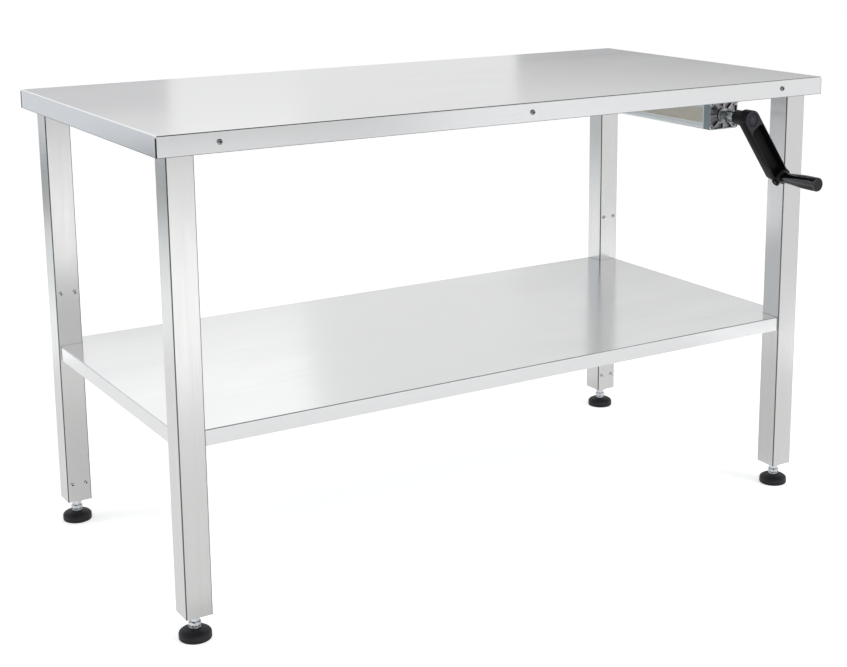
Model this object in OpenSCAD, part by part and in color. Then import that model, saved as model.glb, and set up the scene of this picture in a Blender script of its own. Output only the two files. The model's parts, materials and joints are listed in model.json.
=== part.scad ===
// Height-adjustable stainless instrument table with a lower shelf.
// A hand crank drives a four-plunger pump under the top. Each plunger feeds
// one ram, and the four rams lift the whole frame off its feet together.
// X runs along the long side, Y from front to rear, Z up from the floor.

/* [Top] */
// Length of the work surface along X
top_l = 1524; // [1300:1:1830]
// Depth of the work surface along Y
top_d = 762; // [690:1:915]
// Height of the work surface at its lowest setting
table_h = 940; // [910:1:1100]
// Thickness of the top sheet
sheet_t = 1.5; // [1.2:0.1:2]
// Height of the apron folded down from the top
apron_h = 38; // [36:1:50]
// Outer radius of the bends along the top's edges
bend_r = 3; // [2.5:0.5:5]
// Distance of the legs' outer faces in from the top's edges
overhang = 24; // [20:1:40]
// Width of the open seam at each corner of the apron
seam_w = 3; // [0.5:0.1:4]
// Height of the frame rails under the top
rail_h = 30; // [25:1:34]
// Wall of the frame rails
rail_t = 1.5; // [1.2:0.1:2.5]
// Distance of the outer apron screws from the middle of the long side
apron_screw_x = 648; // [400:1:660]

/* [Stiffeners] */
// Depth of the hat channels under the top
hat_h = 35; // [30:1:36]
// Width of the flat web of a hat channel
hat_web = 40; // [30:1:50]
// Width of each flange of a hat channel
hat_flange = 12; // [8:1:16]
// Distance of the outer hat channels from the middle
hat_y = 240; // [215:1:245]

/* [Legs] */
// Outside width of the square leg tube
leg_w = 52; // [50:1:58]
// Wall of the leg tube
leg_t = 2; // [1.5:0.1:2.5]
// Outer corner radius of the leg tube
leg_r = 2.5; // [2:0.5:4]
// Height of the leg tube's lower end above the floor
leg_z = 50; // [48:1:60]

/* [Shelf] */
// Height of the shelf's upper face
shelf_z = 402; // [300:1:460]
// Height of the shelf's folded edge
shelf_edge = 30; // [26:1:40]
// Thickness of the shelf sheet
shelf_t = 1.2; // [1:0.1:2]
// Distance of the shelf's edge in from the legs' outer faces
shelf_inset = 3.5; // [2:0.5:8]
// Gap between a leg and the notch cut for it
notch_gap = 1; // [0.5:0.1:2]
// Width of the return folded under the shelf's edge
shelf_hem = 10; // [6:1:14]
// Distance of the shelf's two stiffeners from the middle
shelf_rib_y = 170; // [120:1:220]

/* [Lift] */
// Diameter of a ram
ram_d = 18; // [16:0.5:21.5]
// How far a piston stands out from its ram, all round
piston_step = 1.5; // [1:0.1:2]
// Wall of a lift cylinder
cyl_wall = 3.5; // [2.5:0.5:4]
// Length of a ram that is still in its cylinder at the highest setting
ram_engaged = 121; // [60:1:160]
// Distance of the upper screws through the leg below the cylinder's end
block_drop = 25; // [22:1:40]
// Height of the lower screws through the leg
block_lo = 89; // [84:1:100]
// Height of a mounting block
block_h = 30; // [24:1:34]
// Distance between the two screws of a pair
pair_w = 30; // [26:1:31]
// Radial running clearance of a shaft in its bore
run_gap = 0.05; // [0.02:0.01:0.1]

/* [Feet] */
// Diameter of a foot pad
pad_d = 61; // [50:1:70]
// Height of a foot pad
pad_h = 20; // [18:1:22]
// Diameter of the levelling stud
stud_d = 10; // [8:0.5:12]
// Width across the flats of the levelling hexagon
hex_af = 22; // [19:1:24]
// Travel of the levelling screw
level_travel = 15; // [8:1:20]

/* [Pump] */
// Width of the pump body
pump_w = 77; // [68:1:84]
// Height of the pump body
pump_h = 60; // [58:1:70]
// Distance of the pump's middle in from the table's right end
pump_in = 231; // [217:1:382]
// Distance of the pump's front face behind the top's front edge
pump_set_back = 52; // [48:1:58]
// Wall of the pump's extruded body
pump_wall = 3.5; // [3:0.1:3.5]
// Thickness of the pump's end caps
cap_t = 20; // [18:1:24]
// Diameter of a plunger
plunger_d = 22; // [18:0.5:24]
// Lead of the pump's screw
screw_lead = 6; // [5:0.25:6]
// Turns of the crank from the lowest to the highest setting
crank_turns = 34; // [28:1:34]
// Diameter of the pump's screw
screw_d = 12; // [10:0.5:12]
// Thickness of the plates that hang the pump
hang_t = 6; // [5:1:8]

/* [Lines] */
// Diameter of a hydraulic line
line_d = 6; // [5:0.5:7]
// Bend radius of a hydraulic line
line_bend = 14; // [10:1:16]

/* [Crank] */
// Distance from the crank's axis to the grip's hinge pin
arm_len = 158; // [150:1:185]
// Width of the crank arm
arm_w = 40; // [38:1:44]
// Thickness of the crank arm
arm_t = 24; // [22:1:28]
// Gap between the apron and the back of the turning arm
arm_gap = 15; // [8:1:30]
// Angle of the resting crank arm from straight down
crank_angle = 34.5; // [0:0.5:60]
// Diameter of the crank's hub
hub_d = 32; // [28:1:38]
// Length of the hub behind the arm
hub_l = 25; // [20:1:26]
// Diameter of the grip at its outer end
grip_d = 30; // [26:0.5:30]
// Diameter of the grip beside the arm
grip_neck = 22; // [16:0.5:22]
// Length of the turning grip
grip_l = 100; // [80:1:102]

/* [Hidden] */
$fn = 48;

// Corner signs, as [x, y]
FL = [-1, -1];
FR = [1, -1];
RL = [-1, 1];
RR = [1, 1];
CORNERS = [FL, FR, RL, RR];

// General clearances: between loose parts, and around a screw's shank
fit = 0.3;
hole_gap = 0.2;
// Clearance across a bore for a piece that is fixed in it, and the overrun of a cut
snug = 0.1;
eps = 0.5;

// Frame
hx = top_l / 2;
hy = top_d / 2;
under = table_h - sheet_t;
apron_z = table_h - apron_h;
in_x = hx - sheet_t - fit;
in_y = hy - sheet_t - fit;
leg_ox = hx - overhang;
leg_oy = hy - overhang;
leg_cx = leg_ox - leg_w / 2;
leg_cy = leg_oy - leg_w / 2;
rail_z = under - rail_h;
hat_z = under - hat_h;
hat_t = 1.5;
HAT_YS = [-hat_y, 0, hat_y];
apron_screw_z = table_h - apron_h / 2;
APRON_SCREW_XS = [-apron_screw_x, 0, apron_screw_x];
m6 = 6;
m5 = 5;
m6_head = 10.5;
m5_head = 9;
short_screw = 12;
block_screw = 16;
plate_t = 3;
plate_reach = 110;

// Shelf
shelf_x = leg_ox - shelf_inset;
shelf_y = leg_oy - shelf_inset;
notch_x = leg_ox - leg_w - notch_gap;
notch_y = leg_oy - leg_w - notch_gap;
shelf_low = shelf_z - shelf_edge;
shelf_bend = 2.4;
rib_h = 22;
rib_w = 36;
bracket_t = 3;
bracket_w = 40;
bracket_l = 34;
bracket_drop = 24;
bracket_screw_z = shelf_z - shelf_t - bracket_drop + 9;
rib_gap = 20;

// Lift: the ram, its cylinder and the blocks that hold it in the leg
crosshead_travel = screw_lead * crank_turns;
lift_travel = crosshead_travel * pow(plunger_d / ram_d, 2);
block_w = leg_w - 2 * leg_t - 2 * hole_gap;
cyl_bore = ram_d + 2 * piston_step;
cyl_d = cyl_bore + 2 * cyl_wall;
cyl_low = leg_z - 7;
gland_z = cyl_low + 1;
gland_h = 25;
ram_top = gland_z + gland_h + lift_travel + ram_engaged;
piston_h = 20;
cyl_head_z = ram_top + 5;
cyl_top = cyl_head_z + 40;
block_hi = cyl_top - block_drop;
oil_bore = 4;
collar_z = pad_h + 1;
collar_h = 2.5;
collar_neck_d = 16;
hex_h = 8.5;
hex_z = collar_z + collar_h + 2;
ram_low = hex_z + hex_h + eps;
stud_grip = 35;
stud_len = level_travel + stud_grip;
stud_hole = stud_len + 10;
ball_d = 14;
ball_z = pad_h - ball_d / 2;
flat_z = ram_low + 2;
flat_h = 6;
flat_cut = 1;
pad_edge = 2.5;
pad_rim = 11;
pad_neck = 12;

// Pump
pump_x = hx - pump_in;
pump_z = hat_z - hang_t - pump_h / 2;
pump_y0 = -hy + pump_set_back;
body_y0 = pump_y0 + cap_t;
head_y = body_y0 + 4;
head_t = 20;
block_gap = 2;
block_y0 = head_y + head_t + crosshead_travel + block_gap;
plunger_entry = 10;
plunger_end = block_y0 + plunger_entry;
bore_y1 = plunger_end + crosshead_travel + 1;
body_y1 = bore_y1 + 5;
pump_y1 = body_y1 + cap_t;
plunger_x = 17.5;
plunger_z = 14;
PLUNGERS = [[-plunger_x, -plunger_z], [plunger_x, -plunger_z],
    [-plunger_x, plunger_z], [plunger_x, plunger_z]];
cap_screw_x = pump_w / 2 - 4.5;
cap_screw_z = pump_h / 2 - 4.5;
port_r = 4.6;
pump_r = 3;
CAP_SCREWS = [[-cap_screw_x, -cap_screw_z], [cap_screw_x, -cap_screw_z],
    [-cap_screw_x, cap_screw_z], [cap_screw_x, cap_screw_z]];
groove_w = 4;
groove_d = 1.8;
groove_z = pump_h / 2 - 11;
pocket_d = 6;
pocket_edge = 2.5;
boss_d = 30;
rib_ring_d = 37;
rib_t = 3.5;
HANG_YS = [-hat_y, 0];
hang_w = 40;
hang_x = pump_w / 2 + 18;
hang_hole_x = hang_x - 9;
bearing_d = 26;
bearing_l = 10;
label_l = 330;
label_h = 32;
label_t = 0.6;
label_in = 4;

// Crank
arm_y1 = -hy - arm_gap;
arm_y0 = arm_y1 - arm_t;
hub_y1 = arm_y1 + hub_l;
coupling_d = 28;
coupling_y1 = hub_y1 + 27;
neck_d = 19;
drive_d = 10;
drive_y0 = arm_y0 + 8;
drive_y1 = coupling_y1 - 8;
web_t = 3.5;
wall_t = 3;
slot_w = arm_w - 2 * wall_t;
slot_top = 22;
slot_r = 9;
pin_y = arm_y1 - web_t - grip_d / 2 - 1;
pin_d = 6;
knuckle_d = 18;
arm_end = arm_len + 17;
arm_corner = 6;
arm_cut_x = 16;
arm_cut_z = 30;
grip_y1 = pin_y - knuckle_d / 2 - 1;
grip_y0 = grip_y1 - grip_l;
grip_edge = 1.5;
grip_swell = 0.72;
grip_steps = 10;
spindle_d = 8;
grip_cap_t = 4;
grip_plug_d = grip_d - 6;
cover_d = 26;
cover_t = 1.3;
dimple_d = 3;

// Lines: the route of each from its port on the pump to its leg
line_sides = 12;
bend_steps = 5;
line_z = hat_z - fit - line_d / 2;
fitting_d = 14;
fitting_neck = 10;
fitting_bore = 3;
// Depth from a fitting's foot to where its line ends
port_seat = 8;
lift_seat = 22;
lift_port = cyl_top + lift_seat;
port_y = pump_y1 + port_seat;
low_turn_y = pump_y1 + 42;
high_turn_y = pump_y1 + 46;
line_pair = 8;
near_x = leg_cx - 62;
far_x = leg_cx - 72;
front_x = leg_cx - 80;
grommet_d = 14;
grommet_hole = 11;
grommet_lip = 1.5;
clip_l = 12;
clip_wall = 2;
CLIP_XS = [-372, -133, 133, 372];
ROUTE_FL = [[pump_x - plunger_x, port_y, pump_z - plunger_z],
    [pump_x - plunger_x, low_turn_y, pump_z - plunger_z],
    [pump_x - 65, hat_y - line_pair, line_z],
    [-near_x, hat_y - line_pair, line_z],
    [-near_x, -leg_cy, line_z],
    [-leg_cx, -leg_cy, line_z],
    [-leg_cx, -leg_cy, lift_port]];
ROUTE_RL = [[pump_x - plunger_x, port_y, pump_z + plunger_z],
    [pump_x - plunger_x, high_turn_y, pump_z + plunger_z],
    [pump_x - 60, hat_y + line_pair, line_z],
    [-far_x, hat_y + line_pair, line_z],
    [-far_x, leg_cy, line_z],
    [-leg_cx, leg_cy, line_z],
    [-leg_cx, leg_cy, lift_port]];
ROUTE_RR = [[pump_x + plunger_x, port_y, pump_z + plunger_z],
    [pump_x + plunger_x, high_turn_y, pump_z + plunger_z],
    [pump_x + 69, hat_y + line_pair, line_z],
    [near_x, hat_y + line_pair, line_z],
    [near_x, leg_cy, line_z],
    [leg_cx, leg_cy, line_z],
    [leg_cx, leg_cy, lift_port]];
ROUTE_FR = [[pump_x + plunger_x, port_y, pump_z - plunger_z],
    [pump_x + plunger_x, low_turn_y, pump_z - plunger_z],
    [front_x, low_turn_y, line_z],
    [front_x, -leg_cy, line_z],
    [leg_cx, -leg_cy, line_z],
    [leg_cx, -leg_cy, lift_port]];

STEEL = "gainsboro";
ZINC = "silver";
BLACK = "#1c1c1e";
ALLOY = "#c9cdd0";
NYLON = "#2b2b2e";

// A flat shape in X and Z, made solid from y0 to y1
module prism_y(y0, y1) {
    translate([0, y1, 0])
        rotate([90, 0, 0])
            linear_extrude(y1 - y0)
                children();
}

// A flat shape in Y and Z, made solid from x0 to x1
module prism_x(x0, x1) {
    translate([x0, 0, 0])
        rotate([90, 0, 90])
            linear_extrude(x1 - x0)
                children();
}

// A box between two corners
module block(a, b) {
    translate(a)
        cube(b - a);
}

module rod_y(d, y0, y1, x, z) {
    translate([x, y0, z])
        rotate([-90, 0, 0])
            cylinder(d = d, h = y1 - y0);
}

module rod_z(d, z0, z1, x, y) {
    translate([x, y, z0])
        cylinder(d = d, h = z1 - z0);
}

module rod_x(d, x0, x1, y, z) {
    translate([x0, y, z])
        rotate([0, 90, 0])
            cylinder(d = d, h = x1 - x0);
}

// A rectangle with round corners, centred
module round_rect(w, h, r) {
    square([w - 2 * r, h], center = true);
    square([w, h - 2 * r], center = true);
    for (x = [-1, 1], y = [-1, 1])
        translate([x * (w / 2 - r), y * (h / 2 - r)])
            circle(r);
}

// A folded edge seen from its end: square below, with bends of radius r on top
module bent_profile(half, z0, z1, r) {
    translate([-half, z0])
        square([2 * half, z1 - z0 - r]);
    translate([-half + r, z0])
        square([2 * half - 2 * r, z1 - z0]);
    for (s = [-1, 1])
        translate([s * (half - r), z1 - r])
            circle(r);
}

// A button-head screw along +Z: its head above z = 0, its shank below
module button_screw(d, head, len) {
    head_h = d * 0.55;
    rim_h = head_h * 0.45;
    crown = head * 0.62;
    socket = d * 0.72;
    difference() {
        union() {
            translate([0, 0, -len])
                cylinder(d = d, h = len);
            cylinder(d = head, h = rim_h);
            translate([0, 0, rim_h])
                cylinder(d1 = head, d2 = crown, h = head_h - rim_h);
        }
        translate([0, 0, head_h / 3])
            cylinder(d = socket, h = head_h, $fn = 6);
    }
}

// Pan of the top: the sheet and its four aprons, open at the corner seams
module top_pan() {
    color(STEEL)
        difference() {
            intersection() {
                prism_x(-hx, hx)
                    bent_profile(hy, apron_z, table_h, bend_r);
                prism_y(-hy, hy)
                    bent_profile(hx, apron_z, table_h, bend_r);
            }
            block([-hx + sheet_t, -hy + sheet_t, apron_z - eps],
                [hx - sheet_t, hy - sheet_t, under]);
            for (c = CORNERS)
                scale([c[0], c[1], 1])
                    block([hx - sheet_t - eps, hy - sheet_t - seam_w, apron_z - eps],
                        [hx + eps, hy - sheet_t, under - bend_r]);
            for (x = APRON_SCREW_XS)
                rod_y(m6 + 2 * hole_gap, -hy - eps, -hy + sheet_t + eps, x, apron_screw_z);
            for (x = APRON_SCREW_XS)
                rod_y(m6 + 2 * hole_gap, hy - sheet_t - eps, hy + eps, x, apron_screw_z);
        }
}

// A hollow rail, with its long side along X, behind the front or rear apron
module long_rail(side) {
    color(STEEL)
        scale([1, side, 1])
            difference() {
                block([-in_x, leg_oy, rail_z], [in_x, in_y, under]);
                block([-in_x - eps, leg_oy + rail_t, rail_z + rail_t],
                    [in_x + eps, in_y - rail_t, under - rail_t]);
                for (x = APRON_SCREW_XS)
                    rod_y(m6 + 2 * hole_gap, in_y - rail_t - eps, in_y + eps, x, apron_screw_z);
            }
}

// A hollow rail along Y, between the front and rear rails
module short_rail(side) {
    color(STEEL)
        scale([side, 1, 1])
            difference() {
                block([leg_ox, -leg_oy, rail_z], [in_x, leg_oy, under]);
                block([leg_ox + rail_t, -leg_oy - eps, rail_z + rail_t],
                    [in_x - rail_t, leg_oy + eps, under - rail_t]);
            }
}

// A hat channel along X, its web down and its flanges against the sheet
module hat(length, top_z, depth, web, flange, wall) {
    half = web / 2;
    translate([-length / 2, 0, top_z])
        rotate([90, 0, 90])
            linear_extrude(length)
                polygon([[-half, -depth], [half, -depth], [half, -wall], [half + flange, -wall],
                    [half + flange, 0], [half - wall, 0], [half - wall, wall - depth],
                    [wall - half, wall - depth], [wall - half, 0], [-half - flange, 0],
                    [-half - flange, -wall], [-half, -wall]]);
}

module top_stiffeners() {
    color(STEEL)
        for (y = HAT_YS)
            translate([0, y, 0])
                hat(2 * (leg_ox - fit), under, hat_h, hat_web, hat_flange, hat_t);
}

// Button-head screws through the aprons into the long rails
module top_screws() {
    color(ZINC)
        for (x = APRON_SCREW_XS, s = [-1, 1])
            translate([x, s * hy, apron_screw_z])
                rotate([-90 * s, 0, 0])
                    button_screw(m6, m6_head, short_screw);
}

// Angle plates under the rails' joints
module corner_plates() {
    color(STEEL)
        for (c = CORNERS)
            scale([c[0], c[1], 1])
                translate([0, 0, rail_z - plate_t])
                    linear_extrude(plate_t)
                        polygon([[in_x, in_y], [in_x - plate_reach, in_y],
                            [in_x - plate_reach, leg_oy], [leg_ox, leg_oy],
                            [leg_ox, in_y - plate_reach], [in_x, in_y - plate_reach]]);
}

// A square leg tube, with the screw holes on the face that looks inward
module leg(c) {
    wall_x0 = leg_cx - leg_w / 2 - eps;
    wall_x1 = leg_cx - leg_w / 2 + leg_t + eps;
    wall_y0 = leg_cy - leg_w / 2 - eps;
    wall_y1 = leg_cy - leg_w / 2 + leg_t + eps;
    hole = m5 + 2 * hole_gap;
    color(STEEL)
        difference() {
            translate([c[0] * leg_cx, c[1] * leg_cy, leg_z])
                linear_extrude(under - leg_z)
                    difference() {
                        round_rect(leg_w, leg_w, leg_r);
                        square(leg_w - 2 * leg_t, center = true);
                    }
            scale([c[0], c[1], 1]) {
                for (z = [block_lo, block_hi], s = [-1, 1])
                    rod_y(hole, wall_y0, wall_y1, leg_cx + s * pair_w / 2, z);
                rod_x(grommet_hole, wall_x0, wall_x1, leg_cy, line_z);
                for (s = [-1, 1])
                    rod_x(hole, wall_x0, wall_x1, leg_cy + s * bracket_w / 4, bracket_screw_z);
            }
        }
}

// Outline of the shelf, notched around the legs
module shelf_outline() {
    square([2 * shelf_x, 2 * notch_y], center = true);
    square([2 * notch_x, 2 * shelf_y], center = true);
}

// Pan of the shelf, with a folded edge and a return on each of its four sides
module shelf_pan() {
    wall_x = shelf_x - shelf_t;
    wall_y = shelf_y - shelf_t;
    hem_x = shelf_x - shelf_hem;
    hem_y = shelf_y - shelf_hem;
    nx = notch_x + eps;
    ny = notch_y + eps;
    low = shelf_low + shelf_t;
    under_sheet = shelf_z - shelf_t;
    color(STEEL)
        difference() {
            intersection() {
                translate([0, 0, shelf_low])
                    linear_extrude(shelf_edge)
                        shelf_outline();
                prism_x(-shelf_x, shelf_x)
                    bent_profile(shelf_y, shelf_low, shelf_z, shelf_bend);
                prism_y(-shelf_y, shelf_y)
                    bent_profile(shelf_x, shelf_low, shelf_z, shelf_bend);
            }
            block([-wall_x, -ny, low], [wall_x, ny, under_sheet]);
            block([-nx, -wall_y, low], [nx, wall_y, under_sheet]);
            block([-hem_x, -ny, shelf_low - eps], [hem_x, ny, under_sheet]);
            block([-nx, -hem_y, shelf_low - eps], [nx, hem_y, under_sheet]);
        }
}

module shelf_stiffeners() {
    length = 2 * (notch_x - bracket_l - rib_gap);
    color(STEEL)
        for (s = [-1, 1])
            translate([0, s * shelf_rib_y, 0])
                hat(length, shelf_z - shelf_t, rib_h, rib_w, hat_flange, shelf_t);
}

// Angles screwed to the legs, which carry the shelf from below
module shelf_brackets() {
    top = shelf_z - shelf_t;
    face = leg_ox - leg_w;
    color(STEEL)
        for (c = CORNERS)
            scale([c[0], c[1], 1])
                difference() {
                    union() {
                        block([face - bracket_t, leg_cy - bracket_w / 2, top - bracket_drop],
                            [face, leg_cy + bracket_w / 2, top]);
                        block([face - bracket_l, leg_cy - bracket_w / 2, top - bracket_t],
                            [face, leg_cy + bracket_w / 2, top]);
                    }
                    for (s = [-1, 1])
                        rod_x(m5 + 2 * hole_gap, face - bracket_t - eps, face + eps,
                            leg_cy + s * bracket_w / 4, bracket_screw_z);
                }
}

module shelf_screws() {
    face = leg_ox - leg_w - bracket_t;
    color(ZINC)
        for (c = CORNERS, s = [-1, 1])
            translate([c[0] * face, c[1] * (leg_cy + s * bracket_w / 4), bracket_screw_z])
                rotate([0, -90 * c[0], 0])
                    button_screw(m5, m5_head, short_screw);
}

// The four lift cylinders, each closed at its head and drilled for oil
module lift_cylinders() {
    color(ZINC)
        for (c = CORNERS)
            difference() {
                rod_z(cyl_d, cyl_low, cyl_top, c[0] * leg_cx, c[1] * leg_cy);
                rod_z(cyl_bore, cyl_low - eps, cyl_head_z, c[0] * leg_cx, c[1] * leg_cy);
                rod_z(oil_bore, cyl_head_z - eps, cyl_top + eps, c[0] * leg_cx, c[1] * leg_cy);
            }
}

// Sealing bushes that guide the rams
module cylinder_glands() {
    color(NYLON)
        for (c = CORNERS)
            difference() {
                rod_z(cyl_bore - snug, gland_z, gland_z + gland_h, c[0] * leg_cx, c[1] * leg_cy);
                rod_z(ram_d + 2 * run_gap, gland_z - eps, gland_z + gland_h + eps,
                    c[0] * leg_cx, c[1] * leg_cy);
            }
}

// Blocks that clamp the cylinders inside the legs, centred on height z
module mounting_blocks(z) {
    color(NYLON)
        for (c = CORNERS)
            scale([c[0], c[1], 1])
                difference() {
                    block([leg_cx - block_w / 2, leg_cy - block_w / 2, z - block_h / 2],
                        [leg_cx + block_w / 2, leg_cy + block_w / 2, z + block_h / 2]);
                    rod_z(cyl_d + snug, z - block_h, z + block_h, leg_cx, leg_cy);
                    for (s = [-1, 1])
                        rod_y(m5 + snug, leg_cy - block_w / 2 - eps, leg_cy, leg_cx + s * pair_w / 2, z);
                }
}

module cylinder_screws() {
    color(ZINC)
        for (c = CORNERS, z = [block_lo, block_hi], s = [-1, 1])
            translate([c[0] * (leg_cx + s * pair_w / 2), c[1] * (leg_oy - leg_w), z])
                rotate([90 * c[1], 0, 0])
                    button_screw(m5, m5_head, block_screw);
}

// A ram: a long rod with its piston at the top and wrench flats at its end
module ram(c) {
    color(ZINC)
        translate([c[0] * leg_cx, c[1] * leg_cy, 0])
            difference() {
                union() {
                    rod_z(ram_d, ram_low, ram_top, 0, 0);
                    rod_z(cyl_bore - 2 * run_gap, ram_top - piston_h, ram_top, 0, 0);
                }
                rod_z(stud_d + 2 * run_gap, ram_low - eps, ram_low + stud_hole, 0, 0);
                for (s = [0, 180])
                    rotate([0, 0, s])
                        block([ram_d / 2 - flat_cut, -ram_d, flat_z], [ram_d, ram_d, flat_z + flat_h]);
            }
}

// A foot pad: a low dome with a socket for the stem's ball
module foot(c) {
    r = pad_d / 2;
    dome = [for (a = [0:15:90]) [pad_neck + (r - pad_neck) * cos(a),
        pad_rim + (pad_h - pad_rim) * sin(a)]];
    color(BLACK)
        translate([c[0] * leg_cx, c[1] * leg_cy, 0])
            difference() {
                rotate_extrude()
                    polygon(concat([[0, 0], [r - pad_edge, 0], [r, pad_edge]], dome, [[0, pad_h]]));
                translate([0, 0, ball_z])
                    sphere(d = ball_d + 2 * fit);
                translate([0, 0, ball_z + 3])
                    cylinder(d1 = ball_d - 1, d2 = ball_d + 3, h = pad_h - ball_z - 3 + eps);
            }
}

// A levelling stem: ball, collar, hexagon and stud
module stem(c) {
    color(ZINC)
        translate([c[0] * leg_cx, c[1] * leg_cy, 0]) {
            translate([0, 0, ball_z])
                sphere(d = ball_d);
            rod_z(stud_d, ball_z, hex_z + 1, 0, 0);
            rod_z(hex_af, collar_z, collar_z + collar_h, 0, 0);
            rod_z(collar_neck_d, collar_z + 1, hex_z + 1, 0, 0);
            translate([0, 0, hex_z])
                cylinder(d = hex_af / cos(30), h = hex_h, $fn = 6);
            rod_z(stud_d, hex_z + 1, hex_z + hex_h + stud_len, 0, 0);
        }
}

function unit(v) = v / norm(v);

// A round bend at point i of route p, as [place, direction] pairs along its middle
function bend_at(p, i) = let (
    a = unit(p[i] - p[i - 1]),
    b = unit(p[i + 1] - p[i]),
    turn = acos(a * b),
    out = cross(a, unit(cross(a, b))),
    middle = p[i] - a * line_bend * tan(turn / 2) - out * line_bend
) [for (k = [0:bend_steps]) let (t = turn * k / bend_steps)
    [middle + line_bend * (out * cos(t) + a * sin(t)), a * cos(t) - out * sin(t)]];

// Middle of a line: straight runs joined by round bends
function line_path(p) = concat(
    [[p[0], unit(p[1] - p[0])]],
    [for (i = [1:len(p) - 2]) each bend_at(p, i)],
    [[p[len(p) - 1], unit(p[len(p) - 1] - p[len(p) - 2])]]);

// Sideways direction of ring i, carried along the path without twisting
function ring_side(path, i) = i == 0
    ? unit(cross(path[0][1], [0.3, 0.1, 1]))
    : let (s = ring_side(path, i - 1), t = path[i][1]) unit(s - t * (s * t));

// A tube of diameter line_d swept along a route
module line_along(route) {
    path = line_path(route);
    n = line_sides;
    rings = len(path);
    points = [for (i = [0:rings - 1])
        let (side = ring_side(path, i), up = cross(path[i][1], side))
            for (k = [0:n - 1])
                path[i][0] + line_d / 2 * (side * cos(360 * k / n) + up * sin(360 * k / n))];
    walls = [for (i = [0:rings - 2], k = [0:n - 1])
        let (a = i * n + k, b = i * n + (k + 1) % n)
            each [[a, a + n, b + n], [a, b + n, b]]];
    first = [for (k = [0:n - 1]) k];
    last = [for (k = [n - 1:-1:0]) (rings - 1) * n + k];
    polyhedron(points, concat(walls, [first, last]), convexity = 10);
}

module line(route) {
    color(BLACK)
        line_along(route);
}

// Compression fittings: one on each lift cylinder, one on each pump port
module line_fittings() {
    color(ZINC) {
        for (c = CORNERS)
            translate([c[0] * leg_cx, c[1] * leg_cy, cyl_top])
                fitting(lift_seat);
        for (p = PLUNGERS)
            translate([pump_x + p[0], pump_y1, pump_z + p[1]])
                rotate([-90, 0, 0])
                    fitting(port_seat);
    }
}

// A fitting along +Z whose socket takes the line from height seat upward
module fitting(seat) {
    difference() {
        union() {
            cylinder(d = fitting_d, h = seat + 8, $fn = 6);
            cylinder(d = fitting_neck, h = seat + 12);
        }
        translate([0, 0, seat])
            cylinder(d = line_d + snug, h = fitting_d);
        translate([0, 0, -eps])
            cylinder(d = fitting_bore, h = seat + 2 * eps);
    }
}

// Rubber rings where the lines enter the legs
module line_grommets() {
    x0 = leg_cx - leg_w / 2;
    x1 = x0 + leg_t;
    lip = grommet_lip;
    color(NYLON)
        for (c = CORNERS)
            scale([c[0], 1, 1])
                difference() {
                    union() {
                        rod_x(grommet_hole - hole_gap, x0 - lip, x1 + lip, c[1] * leg_cy, line_z);
                        rod_x(grommet_d, x0 - lip, x0, c[1] * leg_cy, line_z);
                        rod_x(grommet_d, x1, x1 + lip, c[1] * leg_cy, line_z);
                    }
                    rod_x(line_d + hole_gap, x0 - 2 * lip, x1 + 2 * lip, c[1] * leg_cy, line_z);
                }
}

// Clips on the hat channels: pairs along the rear one, singles where a line crosses
module line_clips() {
    half = clip_l / 2;
    side = line_d / 2 + clip_wall;
    low = line_z - side;
    bore = line_d + snug;
    color(BLACK) {
        for (x = CLIP_XS)
            difference() {
                block([x - half, hat_y - line_pair - side, low], [x + half, hat_y + line_pair + side, hat_z]);
                for (s = [-1, 1])
                    rod_x(bore, x - clip_l, x + clip_l, hat_y + s * line_pair, line_z);
            }
        for (x = [-near_x, front_x], y = [-hat_y, 0])
            difference() {
                block([x - side, y - half, low], [x + side, y + half, hat_z]);
                rod_y(bore, y - clip_l, y + clip_l, x, line_z);
            }
    }
}

// Section of the pump's extrusion, with a groove along each side
module pump_section() {
    difference() {
        round_rect(pump_w, pump_h, pump_r);
        for (s = [-1, 1], t = [-1, 1])
            translate([s * pump_w / 2, t * groove_z])
                square([2 * groove_d, groove_w], center = true);
    }
}

// Inside of the extrusion: a rectangle with a round screw port in each corner
module pump_inside(gap) {
    difference() {
        square([pump_w - 2 * pump_wall - 2 * gap, pump_h - 2 * pump_wall - 2 * gap], center = true);
        for (p = CAP_SCREWS)
            translate(p)
                circle(port_r + gap);
    }
}

module at_pump() {
    translate([pump_x, 0, pump_z])
        children();
}

module pump_housing() {
    color(ALLOY)
        at_pump()
            prism_y(body_y0, body_y1)
                difference() {
                    pump_section();
                    pump_inside(0);
                    for (p = CAP_SCREWS)
                        translate(p)
                            circle(d = m5 + 2 * hole_gap);
                }
}

// Block of four bores that the plungers enter
module pump_block() {
    color(ALLOY)
        at_pump()
            difference() {
                prism_y(block_y0, body_y1)
                    pump_inside(snug);
                for (p = PLUNGERS) {
                    rod_y(plunger_d + 2 * run_gap, block_y0 - eps, bore_y1, p[0], p[1]);
                    rod_y(oil_bore, bore_y1 - eps, body_y1 + eps, p[0], p[1]);
                }
                rod_y(screw_d + 2 * eps, block_y0 - eps, bore_y1, 0, 0);
            }
}

// Recesses of the die-cast cap: the spaces between its ribs
module cap_pockets() {
    difference() {
        round_rect(pump_w - 2 * pocket_edge, pump_h - 2 * pocket_edge, pump_r);
        circle(d = boss_d);
        for (p = CAP_SCREWS)
            translate(p)
                circle(d = m5_head + 2 * pocket_edge);
        difference() {
            for (a = [0:45:135])
                rotate(a)
                    square([2 * pump_w, rib_t], center = true);
            circle(d = rib_ring_d);
        }
    }
}

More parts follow.
